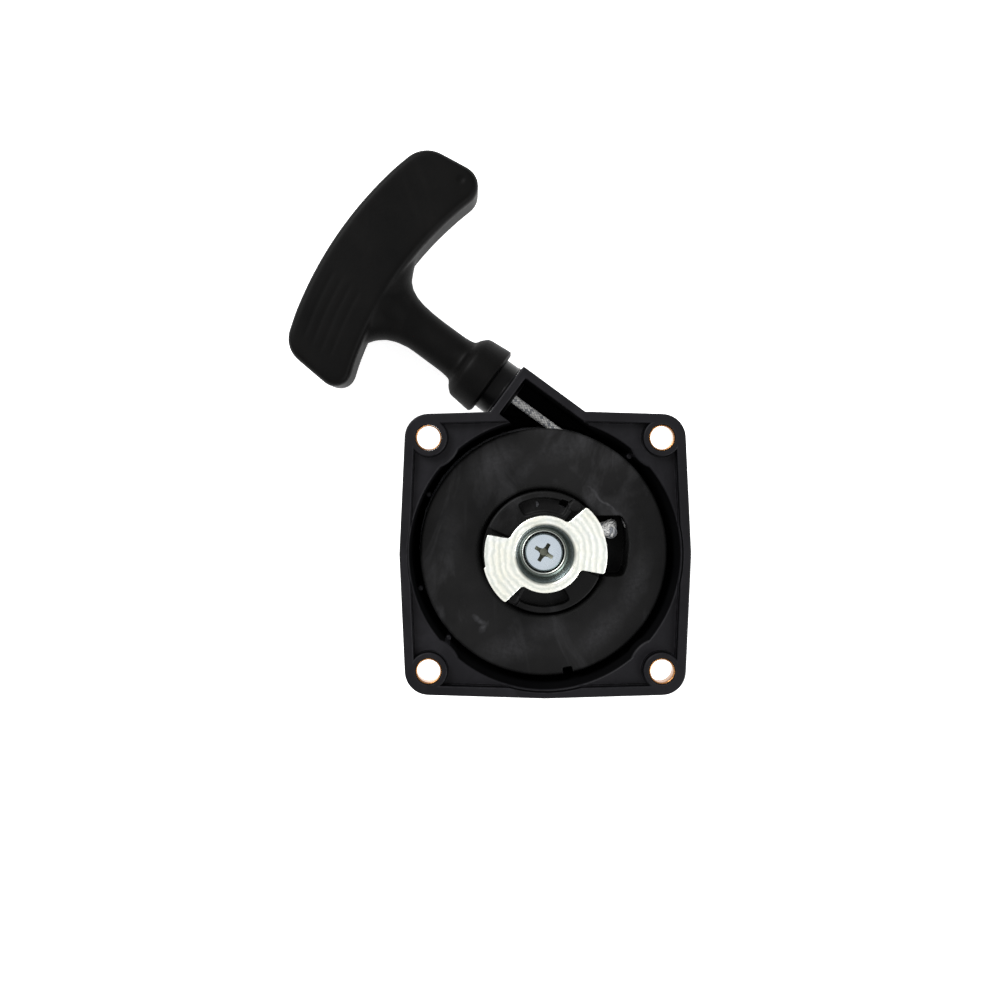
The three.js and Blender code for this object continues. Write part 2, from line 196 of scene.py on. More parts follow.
def sweep(name, path, radius, sides=24, relief=None, matrix=None):
    # a closed tube along a list of points; relief gives the height added at (length, turn)
    path = [Vector(p) for p in path]
    verts, faces, uvs = [], [], []
    tangent = (path[1] - path[0]).normalized()
    normal = tangent.orthogonal().normalized()
    length = 0.0
    for index, point in enumerate(path):
        ahead = path[min(index + 1, len(path) - 1)] - path[max(index - 1, 0)]
        turned = ahead.normalized()
        normal = (normal - turned * normal.dot(turned)).normalized()
        side = turned.cross(normal)
        if index:
            length += (point - path[index - 1]).length
        for i in range(sides):
            turn = i / sides
            size = radius + (relief(length, turn) if relief else 0)
            x, y = polar(size, 2 * math.pi * turn)
            verts.append(point + normal * x + side * y)
            uvs.append((length, turn))
    rings = len(path)
    for ring in range(rings - 1):
        for i in range(sides):
            j = (i + 1) % sides
            low, high = ring * sides, (ring + 1) * sides
            faces.append((low + i, low + j, high + j, high + i))
    faces.append(tuple(reversed(range(sides))))
    faces.append(tuple(range(len(verts) - sides, len(verts))))
    piece = addMesh(name, verts, faces, matrix)
    layer = piece.data.uv_layers.new(name="ropeMap")
    for polygon in piece.data.polygons:
        turns = [uvs[v][1] for v in polygon.vertices]
        wrap = max(turns) - min(turns) > 0.5
        for loop, vertex in zip(polygon.loop_indices, polygon.vertices):
            along, turn = uvs[vertex]
            layer.data[loop].uv = (along, turn + (1 if wrap and turn < 0.5 else 0))
    return piece


def combine(target, others, operation):
    for other in others:
        modifier = target.modifiers.new(operation, "BOOLEAN")
        modifier.object = other
        modifier.operation = operation
        modifier.solver = "MANIFOLD"
    graph = bpy.context.evaluated_depsgraph_get()
    mesh = bpy.data.meshes.new_from_object(target.evaluated_get(graph))
    target.modifiers.clear()
    target.data = mesh
    for other in others:
        bpy.data.objects.remove(other)
    return target


def join(target, *others):
    return combine(target, others, "UNION")


def cut(target, *others):
    return combine(target, others, "DIFFERENCE")


def moveMesh(piece, x, y):
    piece.data.transform(Matrix.Translation((x * mm, y * mm, 0)))
    return piece


def finishPiece(piece, body, material, replaced=(), smoothAngle=38):
    mesh = piece.data
    mesh.materials.clear()
    mesh.materials.append(material)
    for polygon in mesh.polygons:
        polygon.use_smooth = True
    mesh.set_sharp_from_angle(angle=math.radians(smoothAngle))
    weighted = piece.modifiers.new("evenShading", "WEIGHTED_NORMAL")
    weighted.keep_sharp = True
    if body:
        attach(piece, body)
    if replaced:
        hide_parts(*replaced)
    return piece


# ---------- shader groups

def newGroup(name, inputs, outputs):
    group = bpy.data.node_groups.new(name, "ShaderNodeTree")
    for label, kind, value in inputs:
        socket = group.interface.new_socket(name=label, in_out="INPUT", socket_type=kind)
        if value is not None:
            socket.default_value = value
    for label, kind in outputs:
        group.interface.new_socket(name=label, in_out="OUTPUT", socket_type=kind)
    start = group.nodes.new("NodeGroupInput")
    end = group.nodes.new("NodeGroupOutput")
    return group, start, end


def addNode(tree, kind, settings=None, values=None, links=None):
    node = tree.nodes.new(kind)
    for key, value in (settings or {}).items():
        setattr(node, key, value)
    for key, value in (values or {}).items():
        node.inputs[key].default_value = value
    for key, source in (links or {}).items():
        tree.links.new(source, node.inputs[key])
    return node


def mathNode(tree, operation, first, second=None, clamp=False):
    node = tree.nodes.new("ShaderNodeMath")
    node.operation = operation
    node.use_clamp = clamp
    for index, value in enumerate((first, second)):
        if value is None:
            continue
        if isinstance(value, (int, float)):
            node.inputs[index].default_value = value
        else:
            tree.links.new(value, node.inputs[index])
    return node.outputs[0]


def objectPlace(tree):
    return addNode(tree, "ShaderNodeTexCoord").outputs["Object"]


def noise(tree, place, size, **values):
    node = addNode(tree, "ShaderNodeTexNoise", values=values, links={"Vector": place})
    if isinstance(size, float):
        node.inputs["Scale"].default_value = size
    else:
        tree.links.new(size, node.inputs["Scale"])
    return node


def vectorLength(tree, vector):
    node = addNode(tree, "ShaderNodeVectorMath", {"operation": "LENGTH"}, links={0: vector})
    return node.outputs["Value"]


def addBump(tree, shader, height, strength, distance):
    bump = addNode(
        tree, "ShaderNodeBump", values={"Strength": strength, "Distance": distance}, links={"Height": height},
    )
    tree.links.new(bump.outputs["Normal"], shader.inputs["Normal"])


def remap(tree, source, low, high, toLow=0.0, toHigh=1.0):
    node = tree.nodes.new("ShaderNodeMapRange")
    tree.links.new(source, node.inputs["Value"])
    for label, value in (("From Min", low), ("From Max", high), ("To Min", toLow), ("To Max", toHigh)):
        node.inputs[label].default_value = value
    return node.outputs["Result"]


def mixColour(tree, factor, first, second):
    node = tree.nodes.new("ShaderNodeMix")
    node.data_type = "RGBA"
    tree.links.new(factor, node.inputs["Factor"])
    for label, value in (("A", first), ("B", second)):
        socket = next(s for s in node.inputs if s.name == label and s.type == "RGBA")
        if isinstance(value, tuple):
            socket.default_value = (*value, 1)
        else:
            tree.links.new(value, socket)
    return next(s for s in node.outputs if s.type == "RGBA")


def makeMouldedSkin():
    # fine spark-eroded grain with slow cloudy shade
    group, start, end = newGroup(
        "mouldedSkin",
        [("Grain Size", "NodeSocketFloat", 2600.0), ("Cloud Size", "NodeSocketFloat", 90.0)],
        [("Height", "NodeSocketFloat"), ("Cloud", "NodeSocketFloat")],
    )
    place = objectPlace(group)
    grain = noise(group, place, start.outputs["Grain Size"], Detail=3.0, Roughness=0.6)
    cloud = noise(group, place, start.outputs["Cloud Size"], Detail=5.0, Roughness=0.62)
    group.links.new(grain.outputs["Fac"], end.inputs["Height"])
    group.links.new(remap(group, cloud.outputs["Fac"], 0.3, 0.7), end.inputs["Cloud"])
    return group


def makeScuffs():
    # pale cloudy rub marks, with short hairlines where the rubbing was hardest
    group, start, end = newGroup(
        "scuffs",
        [
            ("Amount", "NodeSocketFloat", 0.5), ("Patch Size", "NodeSocketFloat", 70.0),
            ("Turn", "NodeSocketVector", (0, 0, 0.6)),
        ],
        [("Mask", "NodeSocketFloat"), ("Scratch", "NodeSocketFloat")],
    )
    place = objectPlace(group)
    turned = addNode(
        group, "ShaderNodeMapping", values={"Scale": (1.0, 0.45, 1.0)},
        links={"Vector": place, "Rotation": start.outputs["Turn"]},
    ).outputs["Vector"]
    patch = noise(group, turned, start.outputs["Patch Size"], Detail=7.0, Roughness=0.62, Distortion=0.9)
    grit = noise(group, place, 1400.0, Detail=4.0, Roughness=0.7)
    hairs = []
    for turn in (0.4, -0.9):
        hair = addNode(
            group, "ShaderNodeMapping", values={"Scale": (1.0, 0.06, 1.0), "Rotation": (0, 0, turn)},
            links={"Vector": place},
        )
        line = noise(group, hair.outputs["Vector"], 520.0, Detail=2.0)
        hairs.append(remap(group, line.outputs["Fac"], 0.68, 0.75))
    area = remap(group, patch.outputs["Fac"], 0.52, 0.78)
    broken = remap(group, grit.outputs["Fac"], 0.2, 0.8, 0.5, 1.0)
    worn = mathNode(group, "MULTIPLY", area, broken)
    scratch = mathNode(
        group, "MULTIPLY", mathNode(group, "MAXIMUM", *hairs), mathNode(group, "ADD", area, 0.06)
    )
    mask = mathNode(
        group, "MULTIPLY", mathNode(group, "MAXIMUM", worn, scratch), start.outputs["Amount"], clamp=True
    )
    group.links.new(mask, end.inputs["Mask"])
    group.links.new(scratch, end.inputs["Scratch"])
    return group


def makeEdgeWearAndSheen():
    # where a rounded edge turns away from its face, the skin is painted lighter: partly wear, partly a painted
    # highlight along the edge
    group, start, end = newGroup(
        "edgeWearAndSheen",
        [("Width", "NodeSocketFloat", 0.0005), ("Break Up", "NodeSocketFloat", 600.0)],
        [("Mask", "NodeSocketFloat")],
    )
    soft = addNode(group, "ShaderNodeBevel", {"samples": 4}, links={"Radius": start.outputs["Width"]})
    sharp = addNode(group, "ShaderNodeNewGeometry")
    facing = addNode(group, "ShaderNodeVectorMath", {"operation": "DOT_PRODUCT"})
    group.links.new(soft.outputs["Normal"], facing.inputs[0])
    group.links.new(sharp.outputs["Normal"], facing.inputs[1])
    place = objectPlace(group)
    grit = noise(group, place, start.outputs["Break Up"], Detail=4.0)
    edge = remap(group, facing.outputs["Value"], 0.99, 0.85)
    broken = remap(group, grit.outputs["Fac"], 0.35, 0.65)
    group.links.new(mathNode(group, "MULTIPLY", edge, broken, clamp=True), end.inputs["Mask"])
    return group


def makeDrawMarks():
    # rings and flow lines that deep drawing and plating leave on sheet steel
    group, start, end = newGroup(
        "drawMarks",
        [("Ring Size", "NodeSocketFloat", 260.0), ("Waviness", "NodeSocketFloat", 5.0)],
        [("Ring", "NodeSocketFloat"), ("Grit", "NodeSocketFloat"), ("Stain", "NodeSocketFloat")],
    )
    place = objectPlace(group)
    wave = addNode(
        group, "ShaderNodeTexWave", {"wave_type": "RINGS", "rings_direction": "Z", "wave_profile": "SIN"},
        values={"Detail": 3.0, "Detail Scale": 1.4, "Detail Roughness": 0.6},
        links={"Vector": place, "Scale": start.outputs["Ring Size"], "Distortion": start.outputs["Waviness"]},
    )
    grit = noise(group, place, 3200.0, Detail=3.0)
    stain = noise(group, place, 140.0, Detail=5.0, Roughness=0.65, Distortion=0.8)
    group.links.new(wave.outputs["Fac"], end.inputs["Ring"])
    group.links.new(grit.outputs["Fac"], end.inputs["Grit"])
    group.links.new(remap(group, stain.outputs["Fac"], 0.35, 0.7), end.inputs["Stain"])
    return group


braid = {"strandsAround": 8, "cellLength": 1.15, "relief": 0.16}


def braidHeight(length, turn):
    # two families of strands that cross over and under each other
    across = turn * braid["strandsAround"]
    along = length / braid["cellLength"]
    first, second = across + along, across - along
    over = (math.floor(first) + math.floor(second)) % 2
    u, v = (first, second) if over else (second, first)
    bulge = math.sin(math.pi * (u % 1.0))
    dip = math.sin(math.pi * (v % 1.0))
    return (bulge ** 0.6 * (0.55 + 0.45 * dip) - 0.6) * braid["relief"]


def makeBraid():
    # colour mask and height of a round braid from (length in mm, turn round the rope)
    group, start, end = newGroup(
        "ropeBraid",
        [("Place", "NodeSocketVector", None), ("Strands", "NodeSocketFloat", 8.0), ("Cell", "NodeSocketFloat", 1.15)],
        [("Height", "NodeSocketFloat"), ("Gap", "NodeSocketFloat"), ("Shade", "NodeSocketFloat")],
    )
    split = addNode(group, "ShaderNodeSeparateXYZ", links={"Vector": start.outputs["Place"]})
    along = mathNode(group, "DIVIDE", split.outputs["X"], start.outputs["Cell"])
    across = mathNode(group, "MULTIPLY", split.outputs["Y"], start.outputs["Strands"])
    first = mathNode(group, "ADD", across, along)
    second = mathNode(group, "SUBTRACT", across, along)
    firstCell, secondCell = mathNode(group, "FLOOR", first), mathNode(group, "FLOOR", second)
    parity = mathNode(group, "FLOORED_MODULO", mathNode(group, "ADD", firstCell, secondCell), 2.0)
    bulges = []
    for value in (first, second):
        share = mathNode(group, "FLOORED_MODULO", value, 1.0)
        bulges.append(mathNode(group, "SINE", mathNode(group, "MULTIPLY", share, math.pi)))
    mixed = addNode(
        group, "ShaderNodeMix", {"data_type": "FLOAT"},
        links={"Factor": parity, "A": bulges[1], "B": bulges[0]},
    )
    height = mathNode(group, "POWER", mixed.outputs["Result"], 0.6)
    cell = addNode(group, "ShaderNodeCombineXYZ", links={"X": firstCell, "Y": secondCell, "Z": parity})
    hue = addNode(
        group, "ShaderNodeTexWhiteNoise", {"noise_dimensions": "3D"}, links={"Vector": cell.outputs["Vector"]},
    )
    group.links.new(height, end.inputs["Height"])
    group.links.new(remap(group, height, 0.74, 0.34), end.inputs["Gap"])
    group.links.new(hue.outputs["Value"], end.inputs["Shade"])
    return group


groups = {
    "skin": makeMouldedSkin(),
    "scuffs": makeScuffs(),
    "edges": makeEdgeWearAndSheen(),
    "drawn": makeDrawMarks(),
    "braid": makeBraid(),
}
print("shader groups ready")


# ---------- materials

def newMaterial(name):
    material = bpy.data.materials.new(name)
    material.use_nodes = True
    tree = material.node_tree
    tree.nodes.clear()
    output = tree.nodes.new("ShaderNodeOutputMaterial")
    shader = tree.nodes.new("ShaderNodeBsdfPrincipled")
    tree.links.new(shader.outputs["BSDF"], output.inputs["Surface"])
    return material, tree, shader


def useGroup(tree, key, values=None, links=None):
    return addNode(tree, "ShaderNodeGroup", {"node_tree": groups[key]}, values, links)


def baseColour(shader):
    return shader.inputs["Base Color"].links[0].from_socket


skinDepth, braidDepth = 0.00008, 0.00015  # how deep the bumps reach, in metres


def plastic(name, look):
    material, tree, shader = newMaterial(name)
    shader.inputs["Specular IOR Level"].default_value = look["gloss"]
    skin = useGroup(tree, "skin", {"Grain Size": look["grain"], "Cloud Size": look["cloud"]})
    scuff = useGroup(tree, "scuffs", {"Amount": look["scuffs"], "Patch Size": look["patch"]})
    worn = useGroup(tree, "edges", {"Width": look["edge"]})
    tone = mixColour(tree, skin.outputs["Cloud"], look["dark"], look["light"])
    tone = mixColour(tree, scuff.outputs["Mask"], tone, look["pale"])
    # rounded edges are lightened towards the pale tone, partly as wear and partly as a painted highlight
    wearAndSheen = mathNode(tree, "MULTIPLY", worn.outputs["Mask"], look["edgeWearAndSheen"])
    tone = mixColour(tree, wearAndSheen, tone, look["pale"])
    tree.links.new(tone, shader.inputs["Base Color"])
    rough = remap(tree, skin.outputs["Cloud"], 0, 1, *look["roughness"])
    rough = mathNode(tree, "ADD", rough, mathNode(tree, "MULTIPLY", scuff.outputs["Mask"], 0.12), clamp=True)
    tree.links.new(rough, shader.inputs["Roughness"])
    groove = mathNode(tree, "MULTIPLY", scuff.outputs["Scratch"], 0.8)
    addBump(tree, shader, mathNode(tree, "SUBTRACT", skin.outputs["Height"], groove), look["bump"], skinDepth)
    return material


def addRubs(material, rubs):
    # pale rubs where the reel has met the engine: middle, turn, half length, half width and strength
    tree = material.node_tree
    shader = tree.nodes["Principled BSDF"]
    place = objectPlace(tree)
    grain = noise(tree, place, 900.0, Detail=6.0, Roughness=0.7)
    warp = noise(tree, place, 260.0, Detail=3.0)
    bend = 3.0
    bent = addNode(
        tree, "ShaderNodeVectorMath", {"operation": "MULTIPLY_ADD"}, values={1: (bend * mm,) * 3},
        links={0: warp.outputs["Color"], 2: place},
    )
    total = None
    for x, y, turn, length, width, strength in rubs:
        # the bend shifts the pattern by half of itself on average, so each rub is shifted with it
        spot = addNode(tree, "ShaderNodeMapping", {"vector_type": "TEXTURE"}, values={
            "Location": ((x + bend / 2) * mm, (y + bend / 2) * mm, wheel["face"] * mm),
            "Rotation": (0, 0, turn), "Scale": (length * mm, width * mm, 0.01),
        }, links={"Vector": bent.outputs["Vector"]})
        away = vectorLength(tree, spot.outputs["Vector"])
        mask = mathNode(tree, "MULTIPLY", remap(tree, away, 1.25, 0.0), strength)
        total = mask if total is None else mathNode(tree, "MAXIMUM", total, mask)
    broken = remap(tree, grain.outputs["Fac"], 0.35, 0.65, 0.3, 1.0)
    total = mathNode(tree, "MULTIPLY", total, broken, clamp=True)
    tone = mixColour(tree, mathNode(tree, "MULTIPLY", total, 0.75), baseColour(shader), (0.05, 0.05, 0.054))
    tree.links.new(tone, shader.inputs["Base Color"])


def shadeCup(material, cup):
    # painted shade and dark reflection on the cup's wall, darker than the flange, down to the lip round the screw,
    # which is left brighter as a painted highlight
    tree = material.node_tree
    shader = tree.nodes["Principled BSDF"]
    split = addNode(tree, "ShaderNodeSeparateXYZ", links={"Vector": objectPlace(tree)})
    flat = addNode(tree, "ShaderNodeCombineXYZ", links={"X": split.outputs["X"], "Y": split.outputs["Y"]})
    radius = vectorLength(tree, flat.outputs["Vector"])
    bright, lip = (remap(tree, radius, *(reach * mm for reach in cup[key])) for key in ("wall", "lip"))
    shown = mathNode(
        tree, "MAXIMUM", mathNode(tree, "POWER", bright, 1.6), mathNode(tree, "MULTIPLY", lip, 0.6)
    )
    tone = mixColour(tree, shown, cup["colour"], baseColour(shader))
    tree.links.new(tone, shader.inputs["Base Color"])


def metal(name, look):
    material, tree, shader = newMaterial(name)
    shader.inputs["Metallic"].default_value = 1.0
    marks = useGroup(tree, "drawn", {"Ring Size": look["rings"], "Waviness": look["waviness"]})
    tone = mixColour(tree, marks.outputs["Stain"], look["colour"], look["stain"])
    shade = remap(tree, marks.outputs["Ring"], 0.0, 1.0, 0.0, look["ringShade"])
    tone = mixColour(tree, shade, tone, look["mark"])
    tree.links.new(tone, shader.inputs["Base Color"])
    rough = remap(tree, marks.outputs["Grit"], 0.3, 0.7, *look["roughness"])
    tree.links.new(rough, shader.inputs["Roughness"])
    ringHeight = mathNode(tree, "MULTIPLY", marks.outputs["Ring"], look["ringDepth"])
    gritHeight = mathNode(tree, "MULTIPLY", marks.outputs["Grit"], 0.35)
    addBump(tree, shader, mathNode(tree, "ADD", ringHeight, gritHeight), look["bump"], skinDepth)
    return material


def ropeMaterial(name, stretched):
    material, tree, shader = newMaterial(name)
    shader.inputs["Specular IOR Level"].default_value = 0.3
    shader.inputs["Sheen Weight"].default_value = 0.3
    if stretched:
        # read along and round the straight rope, so that it keeps its pattern as it pays out
        shift = addNode(tree, "ShaderNodeMapping", {"vector_type": "TEXTURE"}, values={
            "Location": tuple(pullFrame @ Vector((pullOffset, 0, 0)) * mm),
            "Rotation": (0, 0, math.pi / 2 - pullAngle),
            "Scale": (mm, mm, mm),
        }, links={"Vector": objectPlace(tree)})
        split = addNode(tree, "ShaderNodeSeparateXYZ", links={"Vector": shift.outputs["Vector"]})
        angle = mathNode(tree, "ARCTAN2", split.outputs["Z"], split.outputs["X"])
        turn = mathNode(tree, "DIVIDE", angle, 2 * math.pi)
        spot = addNode(
            tree, "ShaderNodeCombineXYZ", links={"X": split.outputs["Y"], "Y": turn}
        ).outputs["Vector"]
    else:
        spot = addNode(tree, "ShaderNodeUVMap", {"uv_map": "ropeMap"}).outputs["UV"]
    cells = {"Strands": float(braid["strandsAround"]), "Cell": braid["cellLength"]}
    weave = useGroup(tree, "braid", cells, {"Place": spot})
    fleck = remap(tree, weave.outputs["Shade"], 0.72, 0.8)
    tone = mixColour(tree, fleck, (0.52, 0.52, 0.51), (0.17, 0.18, 0.20))
    tone = mixColour(tree, weave.outputs["Gap"], tone, (0.035, 0.035, 0.04))
    if stretched:
        # painted shade: greyer past the outlet, to hold back the strong light that the open run gets, while the run
        # in the nose keeps the paler tone that reads right in its shade
        past = remap(tree, split.outputs["Y"], ropeLeaves, ropeLeaves + 3)
        paintedShadeOutside = mathNode(tree, "MULTIPLY", past, 0.7)
        tone = mixColour(tree, paintedShadeOutside, tone, (0.10, 0.10, 0.10))
    tree.links.new(tone, shader.inputs["Base Color"])
    shader.inputs["Roughness"].default_value = 0.8
    addBump(tree, shader, weave.outputs["Height"], 0.7, braidDepth)
    return material


looks = {
    "housing": {
        "dark": (0.0030, 0.0029, 0.0037), "light": (0.0052, 0.0050, 0.0062), "pale": (0.030, 0.029, 0.034),
        "roughness": (0.44, 0.54), "gloss": 0.10, "grain": 2400.0, "cloud": 70.0, "scuffs": 0.25, "patch": 60.0,
        "edge": 0.0006, "edgeWearAndSheen": 0.4, "bump": 0.3,
    },
    "reel": {
        "dark": (0.0026, 0.0026, 0.0027), "light": (0.0066, 0.0065, 0.0066), "pale": (0.045, 0.045, 0.048),
        "roughness": (0.5, 0.66), "gloss": 0.085, "grain": 1900.0, "cloud": 48.0, "scuffs": 0.55, "patch": 62.0,
        "edge": 0.0006, "edgeWearAndSheen": 0.35, "bump": 0.3,
    },
    "grip": {
        "dark": (0.0013, 0.0013, 0.0013), "light": (0.0024, 0.0023, 0.0022), "pale": (0.016, 0.015, 0.014),
        "roughness": (0.46, 0.56), "gloss": 0.045, "grain": 1500.0, "cloud": 60.0, "scuffs": 0.15,
        "patch": 55.0,
        "edge": 0.0008, "edgeWearAndSheen": 0.25, "bump": 0.35,
    },
    "guide": {
        "dark": (0.0012, 0.0012, 0.0013), "light": (0.0020, 0.0020, 0.0022), "pale": (0.02, 0.02, 0.022),
        "roughness": (0.28, 0.38), "gloss": 0.10, "grain": 1500.0, "cloud": 60.0, "scuffs": 0.15, "patch": 55.0,
        "edge": 0.0006, "edgeWearAndSheen": 0.3, "bump": 0.25,
    },
    # near-black nylon laid on the housing's inner walls as painted shade
    "shaded": {
        "dark": (0.0010, 0.0010, 0.0012), "light": (0.0018, 0.0018, 0.0020), "pale": (0.006, 0.006, 0.0065),
        "roughness": (0.7, 0.8), "gloss": 0.02, "grain": 2400.0, "cloud": 70.0, "scuffs": 0.1, "patch": 60.0,
        "edge": 0.0004, "edgeWearAndSheen": 0.0, "bump": 0.2,
    },
}
metalLooks = {
    "claw": {
        "colour": (0.96, 0.97, 0.94), "stain": (0.95, 0.93, 0.80), "mark": (0.50, 0.56, 0.52), "rings": 190.0,
        "waviness": 4.5, "ringShade": 0.5, "ringDepth": 0.8, "roughness": (0.3, 0.46), "bump": 0.6,
    },
    "screw": {
        "colour": (0.72, 0.80, 0.86), "stain": (0.66, 0.74, 0.84), "mark": (0.45, 0.52, 0.58), "rings": 900.0,
        "waviness": 0.4, "ringShade": 0.25, "ringDepth": 0.4, "roughness": (0.22, 0.34), "bump": 0.3,
    },
    # a darker olive zinc for the screw's cross recess, as painted shade
    "recess": {
        "colour": (0.20, 0.21, 0.17), "stain": (0.12, 0.125, 0.10), "mark": (0.3, 0.3, 0.25), "rings": 900.0,
        "waviness": 0.4, "ringShade": 0.3, "ringDepth": 0.4, "roughness": (0.4, 0.55), "bump": 0.4,
    },
    "brass": {
        "colour": (0.40, 0.18, 0.055), "stain": (0.26, 0.10, 0.035), "mark": (0.6, 0.34, 0.14), "rings": 1200.0,
        "waviness": 0.6, "ringShade": 0.35, "ringDepth": 0.5, "roughness": (0.24, 0.36), "bump": 0.3,
    },
    "dark": {
        "colour": (0.055, 0.056, 0.06), "stain": (0.03, 0.03, 0.035), "mark": (0.09, 0.09, 0.095),
        "rings": 500.0,
        "waviness": 2.0, "ringShade": 0.4, "ringDepth": 0.4, "roughness": (0.4, 0.55), "bump": 0.35,
    },
    "spring": {
        "colour": (0.42, 0.43, 0.45), "stain": (0.3, 0.3, 0.33), "mark": (0.2, 0.2, 0.22), "rings": 600.0,
        "waviness": 3.0, "ringShade": 0.4, "ringDepth": 0.4, "roughness": (0.28, 0.4), "bump": 0.3,
    },
}
housingNylon = plastic("housingNylon", looks["housing"])
reelNylon = plastic("reelNylon", looks["reel"])
gripNylon = plastic("gripNylon", looks["grip"])
guideNylon = plastic("guideNylon", looks["guide"])
shadedNylon = plastic("shadedNylon", looks["shaded"])
clawZinc = metal("clawZinc", metalLooks["claw"])
# the cup's dark wall colour is painted shade, and the brighter lip round the screw is a painted highlight
shadeCup(clawZinc, {"wall": (7.2, 8.5), "lip": (6.3, 6.0), "colour": (0.085, 0.105, 0.095)})
screwZinc = metal("screwZinc", metalLooks["screw"])
recessZinc = metal("recessZinc", metalLooks["recess"])
bushBrass = metal("bushBrass", metalLooks["brass"])
darkSteel = metal("darkSteel", metalLooks["dark"])
springSteel = metal("springSteel", metalLooks["spring"])
woundRope = ropeMaterial("woundRope", False)
straightRope = ropeMaterial("straightRope", True)
print("materials ready")


# faces that pass the test get a second material
def recolour(piece, material, test):
    piece.data.materials.append(material)
    for polygon in piece.data.polygons:
        if test(polygon.center / mm, polygon.normal):
            polygon.material_index = 1


# ---------- housing

shell = {
    "sideReach": 38.8, "endReach": 38.3, "cornerRadius": 6.4, "rimWidth": 2.6, "pocketDepth": 2.2,
    "trench": (0.3, 0.38), "flange": 5.0, "back": 2.4, "cavityRadius": 36.2, "drumRadius": 38.3,
    "bossRadius": 4.95, "bumpRadius": 8.6, "boreRadius": 3.46,
    "noseFloor": 7.3, "noseBottom": 5.0, "outletFace": 34.3, "noseWall": 2.3,
    "ribs": (48, 68, 153.5, 196.5, 222.3), "ribRadius": 0.75, "ribTop": 19.0, "flutes": 12,
}
noseEnd = shell["outletFace"]
noseOuter = [(21.5, 18), (36.9, 4), (36.9, noseEnd), (21.5, noseEnd)]
noseInner = [(22.8, 16), (34.6, 6), (34.6, noseEnd - shell["noseWall"]), (22.8, noseEnd - shell["noseWall"])]


def plateOutline(inset):
    points = []
    reaches = (shell["sideReach"], shell["endReach"]) * 2
    for index, reach in enumerate(reaches):
        turn = index * math.pi / 2
        points.append(polar(reach - inset, turn))
        for step in range(13):
            x, y = polar(shell["cornerRadius"] - inset, turn + step / 12 * math.pi / 2)
            points.append((boltCentres[index][0] + x, boltCentres[index][1] + y))
    return softOutline(points, 0.5, 0.5)


def ribCentres():
    return [polar(34.9, math.radians(a)) for a in shell["ribs"]]


def column(name, profile, centre, segments=64):
    return moveMesh(lathe(name, profile, segments), *centre)


def atBolts(name, profile, segments=64):
    return [column(name, profile, centre, segments) for centre in boltCentres]


